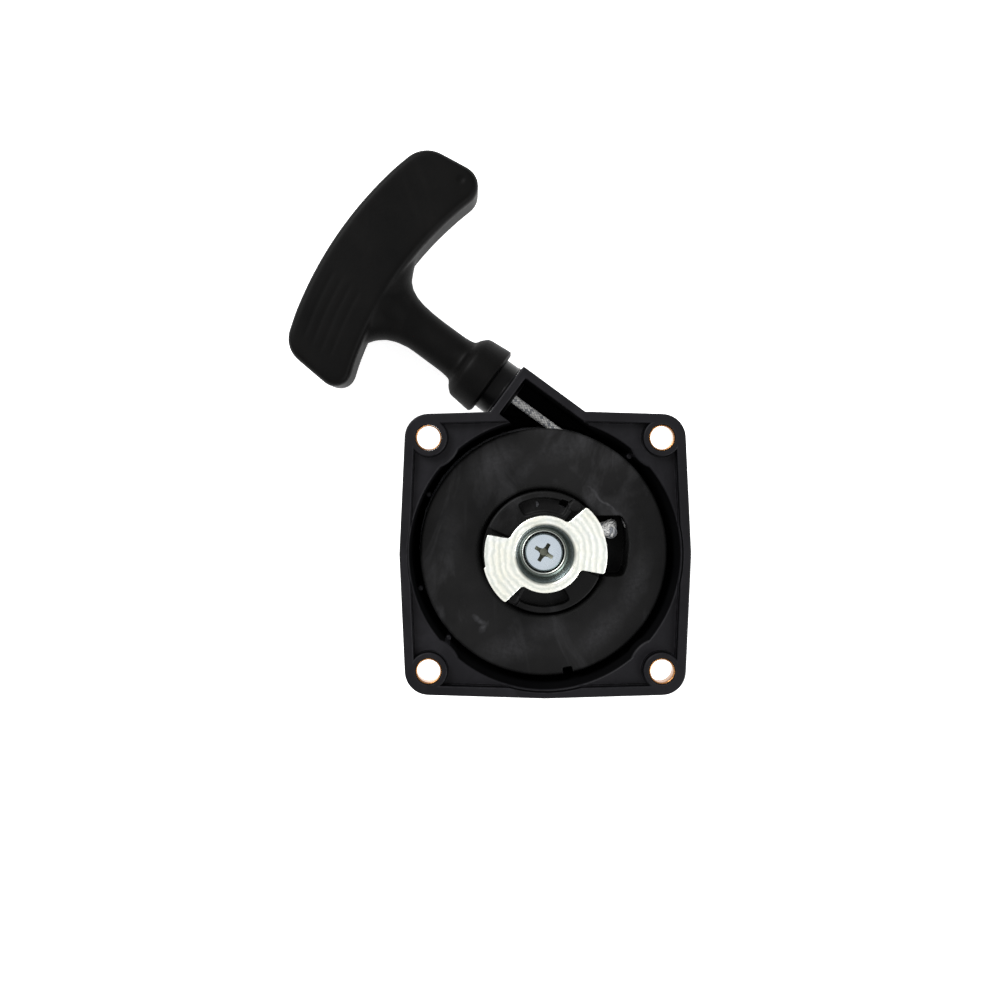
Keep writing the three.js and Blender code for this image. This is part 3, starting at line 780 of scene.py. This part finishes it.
def makeHousing():
    face = engineFace
    flangeBottom = face - shell["flange"]
    floor = face - shell["pocketDepth"]
    wide = shell["cavityRadius"]
    outside = Matrix.Translation((0, 0, -ropeHeight))
    plate = stack("housingShell", plateOutline(0), roundedLayers(flangeBottom, face, 0.5, 0.45))
    drumRadius = shell["drumRadius"]
    drum = lathe("drum", filleted([
        (0, 0), (32.6, 0, 1.2), (35.6, 2.6, 4), (drumRadius, flangeBottom + 1),
        (drumRadius, face - 2), (0, face - 2),
    ]), 160)
    noseLayers = roundedLayers(shell["noseBottom"], face, 1.6, 0.45)
    nose = stack("nose", softOutline(noseOuter, 0.3, 0.35), noseLayers, pullFrame @ outside)
    webs = []
    webOutline = softOutline([(36, 22.6), (36, 12), (38.4, 14.5), (39.3, 22.6)], 0.3, 0.3)
    for x, y in boltCentres:
        upright = Matrix.Rotation(math.atan2(y, x), 4, "Z") @ Matrix.Rotation(math.pi / 2, 4, "X")
        webs.append(stack("web", webOutline, roundedLayers(-1.0, 1.0, 0.3, 0.3), upright))
    body = join(plate, drum, nose, *webs)

    pocket = stack("pocket", plateOutline(shell["rimWidth"]), cutterLayers(floor, face, 0.12, 0.4))
    boss = shell["bossRadius"]
    cut(pocket, *atBolts("boss", [
        (0, 20), (boss + 0.1, 20), (boss + 0.1, floor), (boss, floor + 0.2), (boss, face - 0.4),
        (boss - 0.1, face - 0.15), (boss - 0.35, face), (boss - 0.35, face + 3), (0, face + 3),
    ]))
    # a narrow sunken line follows the foot of the rim and of each boss
    deep, width = shell["trench"]
    inner = stack("inner", plateOutline(shell["rimWidth"] + width), [(0, 20), (0, face)])
    cut(inner, *atBolts("ring", [(0, 19), (boss + width, 19), (boss + width, face + 1), (0, face + 1)]))
    trench = stack("trench", plateOutline(shell["rimWidth"] + 0.05), [(0, floor - deep), (0, floor + 0.2)])
    cut(trench, inner, *atBolts("boss", [(0, 19), (boss + 0.05, 19), (boss + 0.05, face + 1), (0, face + 1)]))
    lipTurns = quarterTurn(6)
    lip = [(wide + 0.5 * (1 - math.cos(a)), floor - 0.8 * (1 - math.sin(a))) for a in lipTurns]
    back = shell["back"]
    wall = [(0, back), (34.0, back), (34.6, back + 0.6), *lip, (wide + 0.5, face + 2), (0, face + 2)]
    cavity = lathe("cavity", wall, 192)
    bump = shell["bumpRadius"]
    rounding = [(bump - 0.9 * (1 - math.cos(a)), floor - 0.9 * (1 - math.sin(a))) for a in lipTurns]
    bumps = atBolts("bump", [(0, 0), (bump, 0), *rounding, (0, floor)], 96)
    ribRadius, ribTop = shell["ribRadius"], shell["ribTop"]
    ribProfile = filleted([(0, 2), (ribRadius, 2), (ribRadius, ribTop, 0.4), (0, ribTop)])
    cut(cavity, *bumps, *[column("rib", ribProfile, centre, 16) for centre in ribCentres()])
    noseSpace = cutterLayers(shell["noseFloor"], face, 1.0, 0.35)
    noseCavity = stack("noseCavity", softOutline(noseInner, 0.3, 0.3), noseSpace, pullFrame @ outside)
    outlet = lathe("outlet", [(0, 28), (5.1, 28), (5.1, 37), (0, 37)], 64, alongRope)
    bore = shell["boreRadius"]
    bores = atBolts("bore", [
        (0, 20), (bore, 20), (bore, face - 0.25), (bore + 0.19, face + 0.01),
        (bore + 0.19, face + 2), (0, face + 2),
    ])
    backRing = lathe("backRing", filleted([(26.5, -1), (28.5, -1), (28.3, 0.7, 0.3), (26.7, 0.7, 0.3)]), 128)
    backDisc = lathe("backDisc", filleted([(0, -1), (11, -1), (10.7, 0.6, 0.3), (0, 0.6)]), 96)
    fluteOutline = softOutline([(14, -1.2), (24, -1.2), (24, 1.2), (14, 1.2)], 0.3, 0.5)
    flutes = []
    for i in range(shell["flutes"]):
        spoke = Matrix.Rotation(2 * math.pi * i / shell["flutes"], 4, "Z")
        flutes.append(stack("flute", fluteOutline, [(0, -1), (0, 0.3), (0.3, 0.7)], spoke))
    cut(body, pocket, trench, cavity, noseCavity, outlet, *bores, backRing, backDisc, *flutes)

    post = lathe("post", filleted([
        (0, 1), (6.8, 1), (6.5, 2.6, 0.5), (5.2, 3.2, 0.5), (5.2, 16.8, 0.3), (3.9, 16.8), (3.9, 3.6), (0, 3.6),
    ]), 64)
    return join(body, post)


def inShade(spot, normal):
    # painted shade: the drum's and the nose's inner walls, and the foot of the pocket's edge, which take a near-black
    # nylon
    floor = engineFace - shell["pocketDepth"]
    radius = math.hypot(spot.x, spot.y)
    if any(math.dist(spot.xy, centre) < 0.95 and spot.z > 17 for centre in ribCentres()):
        return False
    outward = (spot.x * normal.x + spot.y * normal.y) / max(radius, 1)
    drum = shell["back"] - 0.2 < spot.z < floor - 0.45 and radius < 36.7 and outward < 0.5
    across, along, _ = pullFrame.inverted() @ spot
    insideNose = 22.6 < across < 34.8 and 5 < along < 32.2
    nose = insideNose and shell["noseFloor"] - 0.3 < spot.z < engineFace - 0.4
    upright = max(abs(spot.x), abs(spot.y)) < 37 and abs(normal.z) < 0.5
    edge = upright and floor + 0.02 < spot.z < engineFace - 0.35
    return drum or nose or edge


housing = finishPiece(makeHousing(), "housing", housingNylon, ["housing"])
# the faces found by inShade take the near-black nylon as painted shade
recolour(housing, shadedNylon, inShade)
print("housing made")


# ---------- bushes, guide, washer and screw

bush = {"outer": 3.44, "inner": 3.05, "bottom": 22.2, "top": 26.8, "teeth": 36, "toothDepth": 0.12}


def makeBush(index, centre):
    profile = filleted([
        (bush["inner"] + 0.28, bush["bottom"]), (bush["outer"], bush["bottom"]),
        (bush["outer"], bush["top"], 0.12), (bush["inner"], bush["top"], 0.15),
        (bush["inner"], bush["top"] - 1.2, 0.5),
    ], 3)
    piece = lathe(f"mountingBush{index + 1}", profile, bush["teeth"] * 8)
    for vertex in piece.data.vertices:
        radius = math.hypot(vertex.co.x, vertex.co.y)
        if radius > (bush["outer"] - 0.16) * mm:
            turn = math.atan2(vertex.co.y, vertex.co.x)
            change = bush["toothDepth"] * mm * (math.cos(turn * bush["teeth"]) - 1) / 2
            vertex.co.x *= (radius + change) / radius
            vertex.co.y *= (radius + change) / radius
    moveMesh(piece, *centre)
    return finishPiece(piece, "housing", bushBrass, [f"mounting_bush_{index + 1}"])


for index, centre in enumerate(boltCentres):
    makeBush(index, centre)

guide = lathe("ropeGuide", filleted([
    (2.9, 31.1, 0.4), (5, 31.1, 0.3), (5, 34.32), (7.95, 34.32, 0.1), (7.95, 34.8, 0.1), (7.75, 35.0, 0.1),
    (7.7, 38.68, 0.12), (6.1, 38.68, 0.1), (5.9, 41.2, 0.8), (3.2, 41.2, 0.6), (2.2, 40.0, 1.0),
    (2.2, 32.3, 1.0),
]), 128, alongRope)
finishPiece(guide, "housing", guideNylon, ["rope_guide"])

washer = lathe("retainingWasher", filleted([
    (2.75, 17.1, 0.1), (8.2, 17.1, 0.25), (8.2, 18.1, 0.25), (2.75, 18.1, 0.1),
]), 96)
finishPiece(washer, "housing", darkSteel, ["retaining_washer"])

screw = {"head": 5.15, "seat": 18.4, "top": 21.3, "recess": 2.75, "armWidth": 1.05, "depth": 2.1, "turn": 59.0}


def makeScrew():
    seat, top, head = screw["seat"], screw["top"], screw["head"]
    crown = [(head - 0.45 * (1 - math.cos(a)), top - 0.6 + 0.5 * math.sin(a)) for a in quarterTurn(8)]
    body = lathe("centerScrew", [
        (0, 5), (2.1, 5), (2.45, 5.4), (2.45, seat), (head - 0.25, seat), (head, seat + 0.25),
    ] + crown + [(2.6, top - 0.03), (0, top)], 96)
    reach, low, half = screw["recess"], screw["depth"], screw["armWidth"] / 2
    # each arm of the cross narrows and rises towards its tip
    outline = softOutline([
        (0, -half * 2.1), (reach * 0.55, -half), (reach, -half), (reach, half),
        (reach * 0.55, half), (0, half * 2.1),
    ], 0.1, 0.12)
    rise = [(0, top - low), (1.0, top - low), (reach + 0.1, top - 0.5), (reach + 0.1, top + 1), (0, top + 1)]
    arms = []
    for index in range(4):
        turn = Matrix.Rotation(math.radians(screw["turn"] + 90 * index), 4, "Z")
        arm = stack("arm", outline, [(0, -low), (0, 1.5)], Matrix.Translation((0, 0, top)) @ turn)
        arms.append(combine(arm, [lathe("slope", rise, 32)], "INTERSECT"))
    return cut(body, *arms)


# faces down in the cross recess, which take the darker zinc as painted shade
def inRecess(spot, normal):
    return spot.z < screw["top"] - 0.15 and math.hypot(spot.x, spot.y) < screw["recess"] + 0.2


centerScrew = finishPiece(makeScrew(), "housing", screwZinc, ["center_screw"])
recolour(centerScrew, recessZinc, inRecess)
print("fasteners made")


# ---------- reel, hub and claw

wheel = {
    "radius": 33.6, "face": 20.4, "bottom": 8.7, "core": 24.5, "recess": 17.2, "recessFloor": 11.8,
    "window": [
        (13.4, -6.6, 0.5), (21.6, -6.6, 1.6), (22.6, -3.6, 3), (23.1, 2, 6), (22.6, 7.2, 3),
        (21.2, 9.9, 1.4), (13.4, 9.9, 0.5),
    ],
    "notch": -78.5, "knotAngle": 18.2,
}


def sectorOutline(inner, outer, start, end, softness=0.3, spacing=0.25):
    turns = np.radians(np.linspace(start, end, 60))
    points = [polar(outer, a) for a in turns] + [polar(inner, a) for a in turns[::-1]]
    return softOutline(points, spacing, softness)


def makeReel():
    edge, core, recess = wheel["radius"], wheel["core"], wheel["recess"]
    face, floor, bottom = wheel["face"], wheel["recessFloor"], wheel["bottom"]
    rows = [(radius, face) for radius in np.arange(edge - 1.4, recess + 1.8, -0.6)]
    profile = filleted([
        (6.6, 3.2), (8, 3.2, 0.3), (8, bottom, 0.4), (edge, bottom, 0.5), (edge, 10.8, 0.4), (core, 11.1, 0.6),
        (core, 18, 0.6), (edge, 18.3, 0.4), (edge, face, 0.9), *rows, (recess, face, 1.5), (recess, floor, 0.6),
        (8.6, floor, 0.5), (8.6, 16.7, 0.3), (6.6, 16.7),
    ], 7)
    body = lathe("reelWheel", profile, 192)
    for vertex in body.data.vertices:
        # a soft swelling runs along the far side of the knot window
        x, y, z = vertex.co / mm
        if z > face - 0.1 and math.hypot(x, y) > recess + 1.7:
            ridge = math.exp(-((x - 25.2) / 1.5) ** 2 - (max(0, abs(y - 1.5) - 6) / 3.0) ** 2)
            vertex.co.z += 0.42 * ridge * mm
    window = stack(
        "window", softOutline(filleted(wheel["window"]), 0.25, 0.2), cutterLayers(floor, face, 0.5, 0.35)
    )
    toKnot = Matrix.Rotation(math.radians(wheel["knotAngle"]), 4, "Z")
    outward = toKnot @ Matrix.Translation((0, 0, ropeHeight)) @ Matrix.Rotation(math.pi / 2, 4, "Y")
    ropeHole = lathe("ropeHole", [(0, 21.5), (1.9, 21.5), (1.9, 26), (0, 26)], 32, outward)
    notchOutline = softOutline([(-1.25, -1.8), (1.25, -1.8), (1.6, 2), (-1.6, 2)], 0.15, 0.25)
    notchLayers = [(0, 17.5), (0, face - 0.2), (-0.25, face + 0.01), (-0.25, face + 1)]
    toNotch = Matrix.Rotation(math.radians(wheel["notch"] - 90), 4, "Z") @ Matrix.Translation((0, edge, 0))
    return cut(body, window, ropeHole, stack("notch", notchOutline, notchLayers, toNotch))


addRubs(reelNylon, [
    (-17.4, -18.6, -0.5, 2.4, 0.9, 0.9), (-16.2, -20.2, 0.9, 1.8, 0.6, 0.7), (17.3, 13.0, -0.72, 6.6, 0.4, 0.8),
    (19.6, 10.6, -0.5, 2.6, 0.6, 0.6), (-13.0, 25.0, 0.6, 8.5, 4.2, 0.3), (5.5, 28.0, 0.3, 7.5, 3.2, 0.28),
    (-9.4, -26.4, 0.1, 8.5, 3.6, 0.32), (15.5, -21.4, 0.8, 9.5, 3.4, 0.34), (-25.5, 3.0, 1.5, 8.5, 3.6, 0.2),
    (24.5, -8.5, 1.2, 9.0, 3.2, 0.36), (0.5, -21.0, 0.2, 7.0, 2.6, 0.22), (-5.0, 22.5, 0.9, 5.0, 2.0, 0.24),
])
finishPiece(makeReel(), "reel", reelNylon, ["reel"])

hub = {
    "rim": 16.6, "disc": (17.6, 19.0), "lobeTop": 20.9, "padTop": 21.3, "pad": (15.0, 55.7, 1.65),
    "slotRadius": (10.9, 14.8), "slot": (61.0, 119.0), "lobe": (55.5, 156.5), "hook": (14.2, 67.4, 1.1),
}


def makeHub():
    low, high = hub["disc"]
    body = lathe("driveHub", filleted([
        (8.9, 12.1), (10.3, 12.1, 0.3), (10.3, low, 0.5), (hub["rim"], low, 0.3), (hub["rim"], high, 0.3),
        (9.8, high, 0.4), (9.8, 23.5, 0.3), (8.4, 23.5), (8.4, 18.9), (8.9, 18.9),
    ]), 144)
    top = hub["lobeTop"]
    padRadius, padTurn, size = hub["pad"]
    padProfile = filleted([(0, 18), (size, 18), (size, hub["padTop"], 0.6), (0, hub["padTop"])])
    # a shallow groove sets each pad off from its lobe
    inner, outer = size + 0.02, size + 0.4
    grooveProfile = [(inner, top - 0.45), (outer, top - 0.45), (outer + 0.15, top + 1), (inner, top + 1)]
    parts, slots = [], []
    for turn in (0, 180):
        lobe = sectorOutline(9.1, hub["rim"] - 0.1, hub["lobe"][0] + turn, hub["lobe"][1] + turn, 0.55)
        parts.append(stack("lobe", lobe, roundedLayers(18, top, 0, 0.45)))
        x, y = polar(padRadius, math.radians(padTurn + turn))
        parts.append(column("pad", padProfile, (x, y), 40))
        outline = sectorOutline(*hub["slotRadius"], hub["slot"][0] + turn, hub["slot"][1] + turn, 0.8)
        slots.append(stack("slot", outline, cutterLayers(high - 0.1, top, 0.6, 0.35)))
        slots.append(column("groove", grooveProfile, (x, y), 40))
    radius, turn, half = hub["hook"]
    toHook = Matrix.Translation((*polar(radius, math.radians(turn)), 0)) @ Matrix.Rotation(
        math.radians(turn), 4, "Z"
    )
    square = softOutline([(-half, -half), (half, -half), (half, half), (-half, half)], 0.15, 0.3)
    hook = stack("hook", square, [(0, 17), (0, 22)], toHook)
    join(body, *parts)
    return cut(body, *slots, hook)


finishPiece(makeHub(), "drive", reelNylon, ["drive_hub"])

claw = {
    "flange": 10.3, "wing": 16.75, "top": 26.7, "thickness": 2.0, "tipRadius": 0.6, "rootRadius": 1.1,
    "low": (-23.8, -18.8), "high": ((48.7, 54.1), (50.2, 54.1)), "steps": ((21.0, 0.2), (12.9, 0.5)),
}


def clawOutline():
    lowRoot, lowTip = claw["low"]
    wide, flange = claw["wing"], claw["flange"]
    points = []
    for half, (highTip, highRoot), (stepAngle, stepIn) in zip((0, 180), claw["high"], claw["steps"]):
        # past the step the wing's outer edge lies a little further in
        points.append((*polar(flange, math.radians(lowRoot + half)), claw["rootRadius"]))
        points.append((*polar(wide - stepIn, math.radians(lowTip + half)), claw["tipRadius"]))
        for angle in np.linspace(lowTip + 5.5, highTip - 5.5, 56):
            points.append(polar(wide - (stepIn if angle < stepAngle else 0), math.radians(angle + half)))
        points.append((*polar(wide, math.radians(highTip + half)), claw["tipRadius"]))
        points.append((*polar(flange, math.radians(highRoot + half)), claw["rootRadius"]))
        for angle in np.linspace(highRoot + 8, lowRoot + 172, 50):
            points.append(polar(flange, math.radians(angle + half)))
    return softOutline(filleted(points), 0.15, 0.16)


def makeClaw():
    top = claw["top"]
    under = top - claw["thickness"]
    plate = stack("driveClaw", clawOutline(), roundedLayers(under, top, 0.35, 0.22))
    hole = lathe("hole", [(0, under - 1), (8.2, under - 1), (8.2, top + 1), (0, top + 1)], 144)
    cut(plate, hole)
    cup = lathe("cup", filleted([
        (5.6, 19.35, 0.2), (7.2, 19.3, 0.9), (7.95, 20.6, 0.8), (8.0, under - 1.0, 0.6),
        (8.9, under + 0.1), (8.9, top - 0.02),
        (8.55, top, 0.8), (7.55, top - 0.75, 1.4), (7.0, 23.0, 1.2), (6.75, 21.0, 0.3), (6.2, 20.55, 0.3),
        (5.9, 20.75, 0.15), (5.6, 20.6, 0.15),
    ]), 160)
    return join(plate, cup)


finishPiece(makeClaw(), "drive", clawZinc, ["drive_claw"])
print("reel, hub and claw made")


# ---------- damper spring and rope

damper = {"radius": 13.1, "low": 12.95, "high": 16.5, "turns": 1.9, "start": 92.0, "wire": 0.8}


def makeDamper():
    radius, low, high, start = damper["radius"], damper["low"], damper["high"], math.radians(damper["start"])
    # the upper end stands up into the hub's hook hole
    path = [
        (*polar(radius, start + ahead), high + up) for ahead, up in ((0.12, 2.4), (0.08, 1.2), (0.02, 0.35))
    ]
    end = start - damper["turns"] * 2 * math.pi
    steps = 150
    for i in range(steps + 1):
        path.append((*polar(radius, start + (end - start) * i / steps), high + (low - high) * i / steps))
    return sweep("damperSpring", path, damper["wire"], 16)


finishPiece(makeDamper(), "reel", darkSteel, ["damper_spring"])

rope = {
    "radius": 1.5, "inner": 26.05, "outer": 28.8, "low": 13.05, "high": 16.0, "turns": 4,
    "woundLess": 0.04, "stemLess": 0.1, "runLess": 0.35,
}


def coilPath():
    # two turns out on the inner layer, two back on the outer one, ending at the tangent point
    knot = math.radians(wheel["knotAngle"])
    finish = math.pi / 2 - pullAngle
    steps = 96 * rope["turns"]
    points = []
    total = rope["turns"] * 2 * math.pi + (finish - knot)
    for i in range(steps + 1):
        share = i / steps
        turnCount = share * rope["turns"]
        blend = min(1, max(0, (turnCount - 1.85) / 0.3))
        radius = rope["inner"] + (rope["outer"] - rope["inner"]) * blend * blend * (3 - 2 * blend)
        if turnCount < 2:
            lift = min(1, max(0, (turnCount - 0.85) / 0.3))
            height = rope["low"] + (rope["high"] - rope["low"]) * lift
        else:
            lift = min(1, max(0, (turnCount - 2.85) / 0.3))
            height = rope["high"] + (rope["low"] - rope["high"]) * lift
        level = min(1, max(0, (turnCount - 3.7) / 0.3))
        height += (ropeHeight - height) * level * level * (3 - 2 * level)
        points.append((*polar(radius, knot + total * share), height))
    return points


def makeCoil():
    stemPath = [(*polar(r, math.radians(wheel["knotAngle"])), ropeHeight) for r in (23.6, 23.9, 24.2, 24.4)]
    coil = sweep("ropeCoil", coilPath(), rope["radius"] - rope["woundLess"], 20)
    return coil, sweep("ropeStem", stemPath, rope["radius"] - rope["stemLess"], 24, braidHeight)


coil, stem = makeCoil()
finishPiece(coil, "reel", woundRope, ["rope_coil"])
finishPiece(stem, "reel", woundRope)


def makeRun():
    # real braid up to the nose wall, plain and free to lengthen beyond it
    braidEnd, enterHandle, end = ropeLeaves - 0.4, 44.0, 82.0
    spots = [*np.arange(1.0, braidEnd, 0.16), *np.arange(ropeLeaves, enterHandle, 0.25)]
    spots += list(np.linspace(enterHandle, end, 12))

    def relief(length, turn):
        fade = min(1, max(0, (braidEnd - 1.0 - length) / 2))
        return braidHeight(length, turn) * fade

    path = [(pullOffset, spot, 0) for spot in spots]
    piece = sweep("ropeRun", path, rope["radius"] - rope["runLess"], 40, relief, pullFrame)
    finishPiece(piece, None, straightRope, ["rope_run"], 60)
    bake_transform(piece)


makeRun()


knot = {"radius": 19.1, "height": 15.25, "size": 0.54, "ropeRadius": 1.25}


def makeKnot():
    steps, size = 160, knot["size"]
    path = []
    for i in range(steps + 1):
        t = 2 * math.pi * i / steps * 0.985
        x, y = math.sin(t) + 2 * math.sin(2 * t), math.cos(t) - 2 * math.cos(2 * t)
        path.append(Vector((x, y, -1.15 * math.sin(3 * t))) * size)
    middle = Vector((*polar(knot["radius"], math.radians(wheel["knotAngle"])), knot["height"]))
    place = Matrix.Translation(middle) @ Matrix.Rotation(0.5, 4, "Z")
    return sweep("reelKnot", path, knot["ropeRadius"], 28, braidHeight, place)


finishPiece(makeKnot(), "reel", woundRope, ["reel_knot"])
print("springs and rope made")


# ---------- handle

bar = {
    "outerCrown": (39.5, 96.15, 104.6), "innerCrown": (38.6, 75.7, 96.0),  # across, along, radius
    "outerEnds": (2.9, 69.8), "innerEnds": (1.4, 72.9), "outerCorners": (7.4, 8.2), "innerCorners": (4.4, 5.6),
    "thickness": 17.0, "edge": 2.2, "edgeWidth": 1.7, "voxel": 0.4, "smoothing": 12,
}


def barEdge(crown, across):
    return across, crown[1] - crown[2] + math.sqrt(crown[2] ** 2 - (across - crown[0]) ** 2)


def barOutline():
    outer, inner = bar["outerEnds"], bar["innerEnds"]
    upper = [barEdge(bar["outerCrown"], x) for x in np.linspace(outer[0] + 9, outer[1] - 9, 40)]
    lower = [barEdge(bar["innerCrown"], x) for x in np.linspace(inner[1] - 9, inner[0] + 9, 40)]
    outerEnds = [(*barEdge(bar["outerCrown"], x), radius) for x, radius in zip(outer, bar["outerCorners"])]
    innerEnds = [(*barEdge(bar["innerCrown"], x), radius) for x, radius in zip(inner, bar["innerCorners"])]
    corners = [innerEnds[0], outerEnds[0], *upper, outerEnds[1], innerEnds[1], *lower]
    return softOutline(filleted(corners, 10), 0.45, 0.5)


spread = {
    "along": (50.0, 58.0, 63.0, 66.5, 69.2, 71.4, 73.0, 74.3, 75.6, 77.0, 82.0),
    "left": (23.1, 23.2, 23.1, 22.4, 21.2, 19.4, 17.2, 14.2, 11.5, 10.5, 10.5),
    "right": (34.7, 34.6, 34.8, 35.2, 35.9, 37.0, 38.5, 41.0, 44.0, 45.0, 45.0),
    "half": (5.8, 5.7, 5.75, 5.95, 6.3, 6.8, 7.25, 7.65, 8.0, 8.1, 8.1),
}


def makeSpread():
    # the neck widens and thickens into the bar
    rows, around = 90, 72
    verts, faces = [], []
    for along in np.linspace(spread["along"][0], spread["along"][-1], rows):
        left, right, half = (
            np.interp(along, spread["along"], spread[key]) for key in ("left", "right", "half")
        )
        for step in range(around):
            turn = 2 * math.pi * step / around
            x, z = (math.copysign(abs(part) ** 0.88, part) for part in (math.cos(turn), math.sin(turn)))
            verts.append(((left + right) / 2 + (right - left) / 2 * x, along, half * z))
    for row in range(rows - 1):
        for step in range(around):
            after = (step + 1) % around
            low, high = row * around, (row + 1) * around
            faces.append((low + step, low + after, high + after, high + step))
    faces.append(tuple(range(around)))
    faces.append(tuple(reversed(range((rows - 1) * around, rows * around))))
    return addMesh("spread", verts, faces, pullFrame)


def makeGrip():
    half, edge, width = bar["thickness"] / 2, bar["edge"], bar["edgeWidth"]
    turns = quarterTurn(8)
    lower = [(width * (1 - math.sin(a)), -half + edge * (1 - math.cos(a))) for a in turns]
    piece = stack(
        "handleGrip", barOutline(), lower + [(inset, -height) for inset, height in reversed(lower)], pullFrame
    )
    neck = lathe("neck", filleted([
        (0, 36.8), (9.95, 36.8, 0.4), (9.95, 40.0, 1), (9.7, 42.6, 2), (9.35, 46.2, 1.5), (7.7, 47.9, 1.2),
        (6.15, 48.6, 1.6), (5.8, 52, 4), (5.75, 62, 5), (6.1, 67.0, 5), (7.6, 72.2, 4), (8.1, 76),
        (8.1, 82), (0, 82),
    ]), 96, alongRope)
    join(piece, neck, makeSpread())
    remesh = piece.modifiers.new("remesh", "REMESH")
    remesh.mode = "VOXEL"
    remesh.voxel_size = bar["voxel"] * mm
    smooth = piece.modifiers.new("smooth", "SMOOTH")
    smooth.factor = 0.5
    smooth.iterations = bar["smoothing"]
    graph = bpy.context.evaluated_depsgraph_get()
    piece.data = bpy.data.meshes.new_from_object(piece.evaluated_get(graph))
    piece.modifiers.clear()
    carveGrip(piece)
    hollow = lathe("hollow", filleted([
        (0, 34), (13, 34), (13, 41.5), (9.1, 38.72), (6.75, 38.72), (6.6, 39.2, 0.3), (6.6, 41.8, 0.6),
        (2.4, 42.4, 0.4), (2.0, 44, 1), (2.0, 82), (5.2, 82), (5.2, 95.0), (5.6, 100), (0, 100),
    ]), 64, alongRope)
    return cut(piece, hollow)


ribs = {"rows": (13.6, 10.7, 7.8, 4.9), "span": (9.0, 27.0), "width": 0.55, "depth": 0.08, "pin": (67.7, 77.6)}


def carveGrip(piece):
    # faint grooves follow the bar's lower half, and an ejector pin left a mark near its other end
    toPull = pullFrame.inverted()
    first, last = ribs["span"]
    for vertex in piece.data.vertices:
        across, along, height = toPull @ (vertex.co / mm)
        if abs(height) < bar["thickness"] / 2 - 0.6 or along < 74:
            continue
        inward = barEdge(bar["outerCrown"], across)[1] - along
        length = 1 / (1 + math.exp((abs(across - (first + last) / 2) - (last - first) / 2) * 2))
        depth = sum(
            ribs["depth"] * length * math.exp(-((inward - row) / ribs["width"]) ** 2) for row in ribs["rows"]
        )
        if height > 0:
            away = math.hypot(across - ribs["pin"][0], along - ribs["pin"][1])
            depth += 0.25 / (1 + math.exp((away - 0.8) * 7))
        vertex.co.z -= math.copysign(depth, height) * mm


finishPiece(makeGrip(), "handle", gripNylon, ["handle_grip"], 50)
cap = lathe("handleCap", filleted([
    (0, 92), (4.9, 92), (4.9, 95.3, 0.4), (3.4, 95.45), (3.1, 95.1, 0.2), (0, 95.1),
]), 64, alongRope)
finishPiece(cap, "handle", gripNylon, ["handle_cap"])
print("handle made")

inside = {
    "spring_case": darkSteel, "spring_cover": darkSteel, "mainspring": springSteel, "post_insert": bushBrass,
    "reel_bush": bushBrass, "knot_washer": darkSteel, "handle_knot": woundRope,
}
for name, material in inside.items():
    nodes[name].data.materials.clear()
    nodes[name].data.materials.append(material)


# ---------- stage, lights and camera

def makeStage():
    reach, level = 2500, -0.1  # just under the back, so that the two never share a plane
    corners = [(-reach, -reach, level), (reach, -reach, level), (reach, reach, level), (-reach, reach, level)]
    floor = addMesh("floor", corners, [(0, 1, 2, 3)])
    material, tree, shader = newMaterial("paleFloor")
    shader.inputs["Base Color"].default_value = (0.9, 0.9, 0.9, 1)
    shader.inputs["Roughness"].default_value = 0.9
    shader.inputs["Specular IOR Level"].default_value = 0.1
    shader.inputs["Emission Color"].default_value = (1, 1, 1, 1)
    shader.inputs["Emission Strength"].default_value = 0.7
    floor.data.materials.append(material)


def addLight(name, place, target, size, power):
    data = bpy.data.lights.new(name, "AREA")
    data.shape = "DISK"
    data.size = size
    data.energy = power
    light = bpy.data.objects.new(name, data)
    light.location = place
    light.rotation_euler = (Vector(target) - Vector(place)).to_track_quat("-Z", "Y").to_euler()
    bpy.context.scene.collection.objects.link(light)


def makeLights():
    world = bpy.data.worlds.new("studio")
    world.use_nodes = True
    sky = world.node_tree.nodes["Background"]
    sky.inputs["Color"].default_value = (1, 1, 1, 1)
    sky.inputs["Strength"].default_value = 0.8
    bpy.context.scene.world = world
    middle = (-0.01, 0.03, 0.015)
    addLight("keyLight", (-0.5, 0.55, 0.55), middle, 0.45, 12.0)
    addLight("fillLight", (0.6, -0.35, 0.45), middle, 0.6, 6.5)


def makeCamera():
    # straight down on the engine face
    data = bpy.data.cameras.new("camera")
    data.sensor_width = 36.0
    data.lens = 40.71
    data.shift_x, data.shift_y = 0.03, -0.06
    data.clip_start = 0.01
    camera = bpy.data.objects.new("camera", data)
    camera.location = (-0.02, 0.0304, 0.327)
    bpy.context.scene.collection.objects.link(camera)
    bpy.context.scene.camera = camera


makeStage()
makeLights()
makeCamera()
bpy.context.scene.view_settings.view_transform = "Standard"
print("stage ready")

bpy.context.view_layer.update()
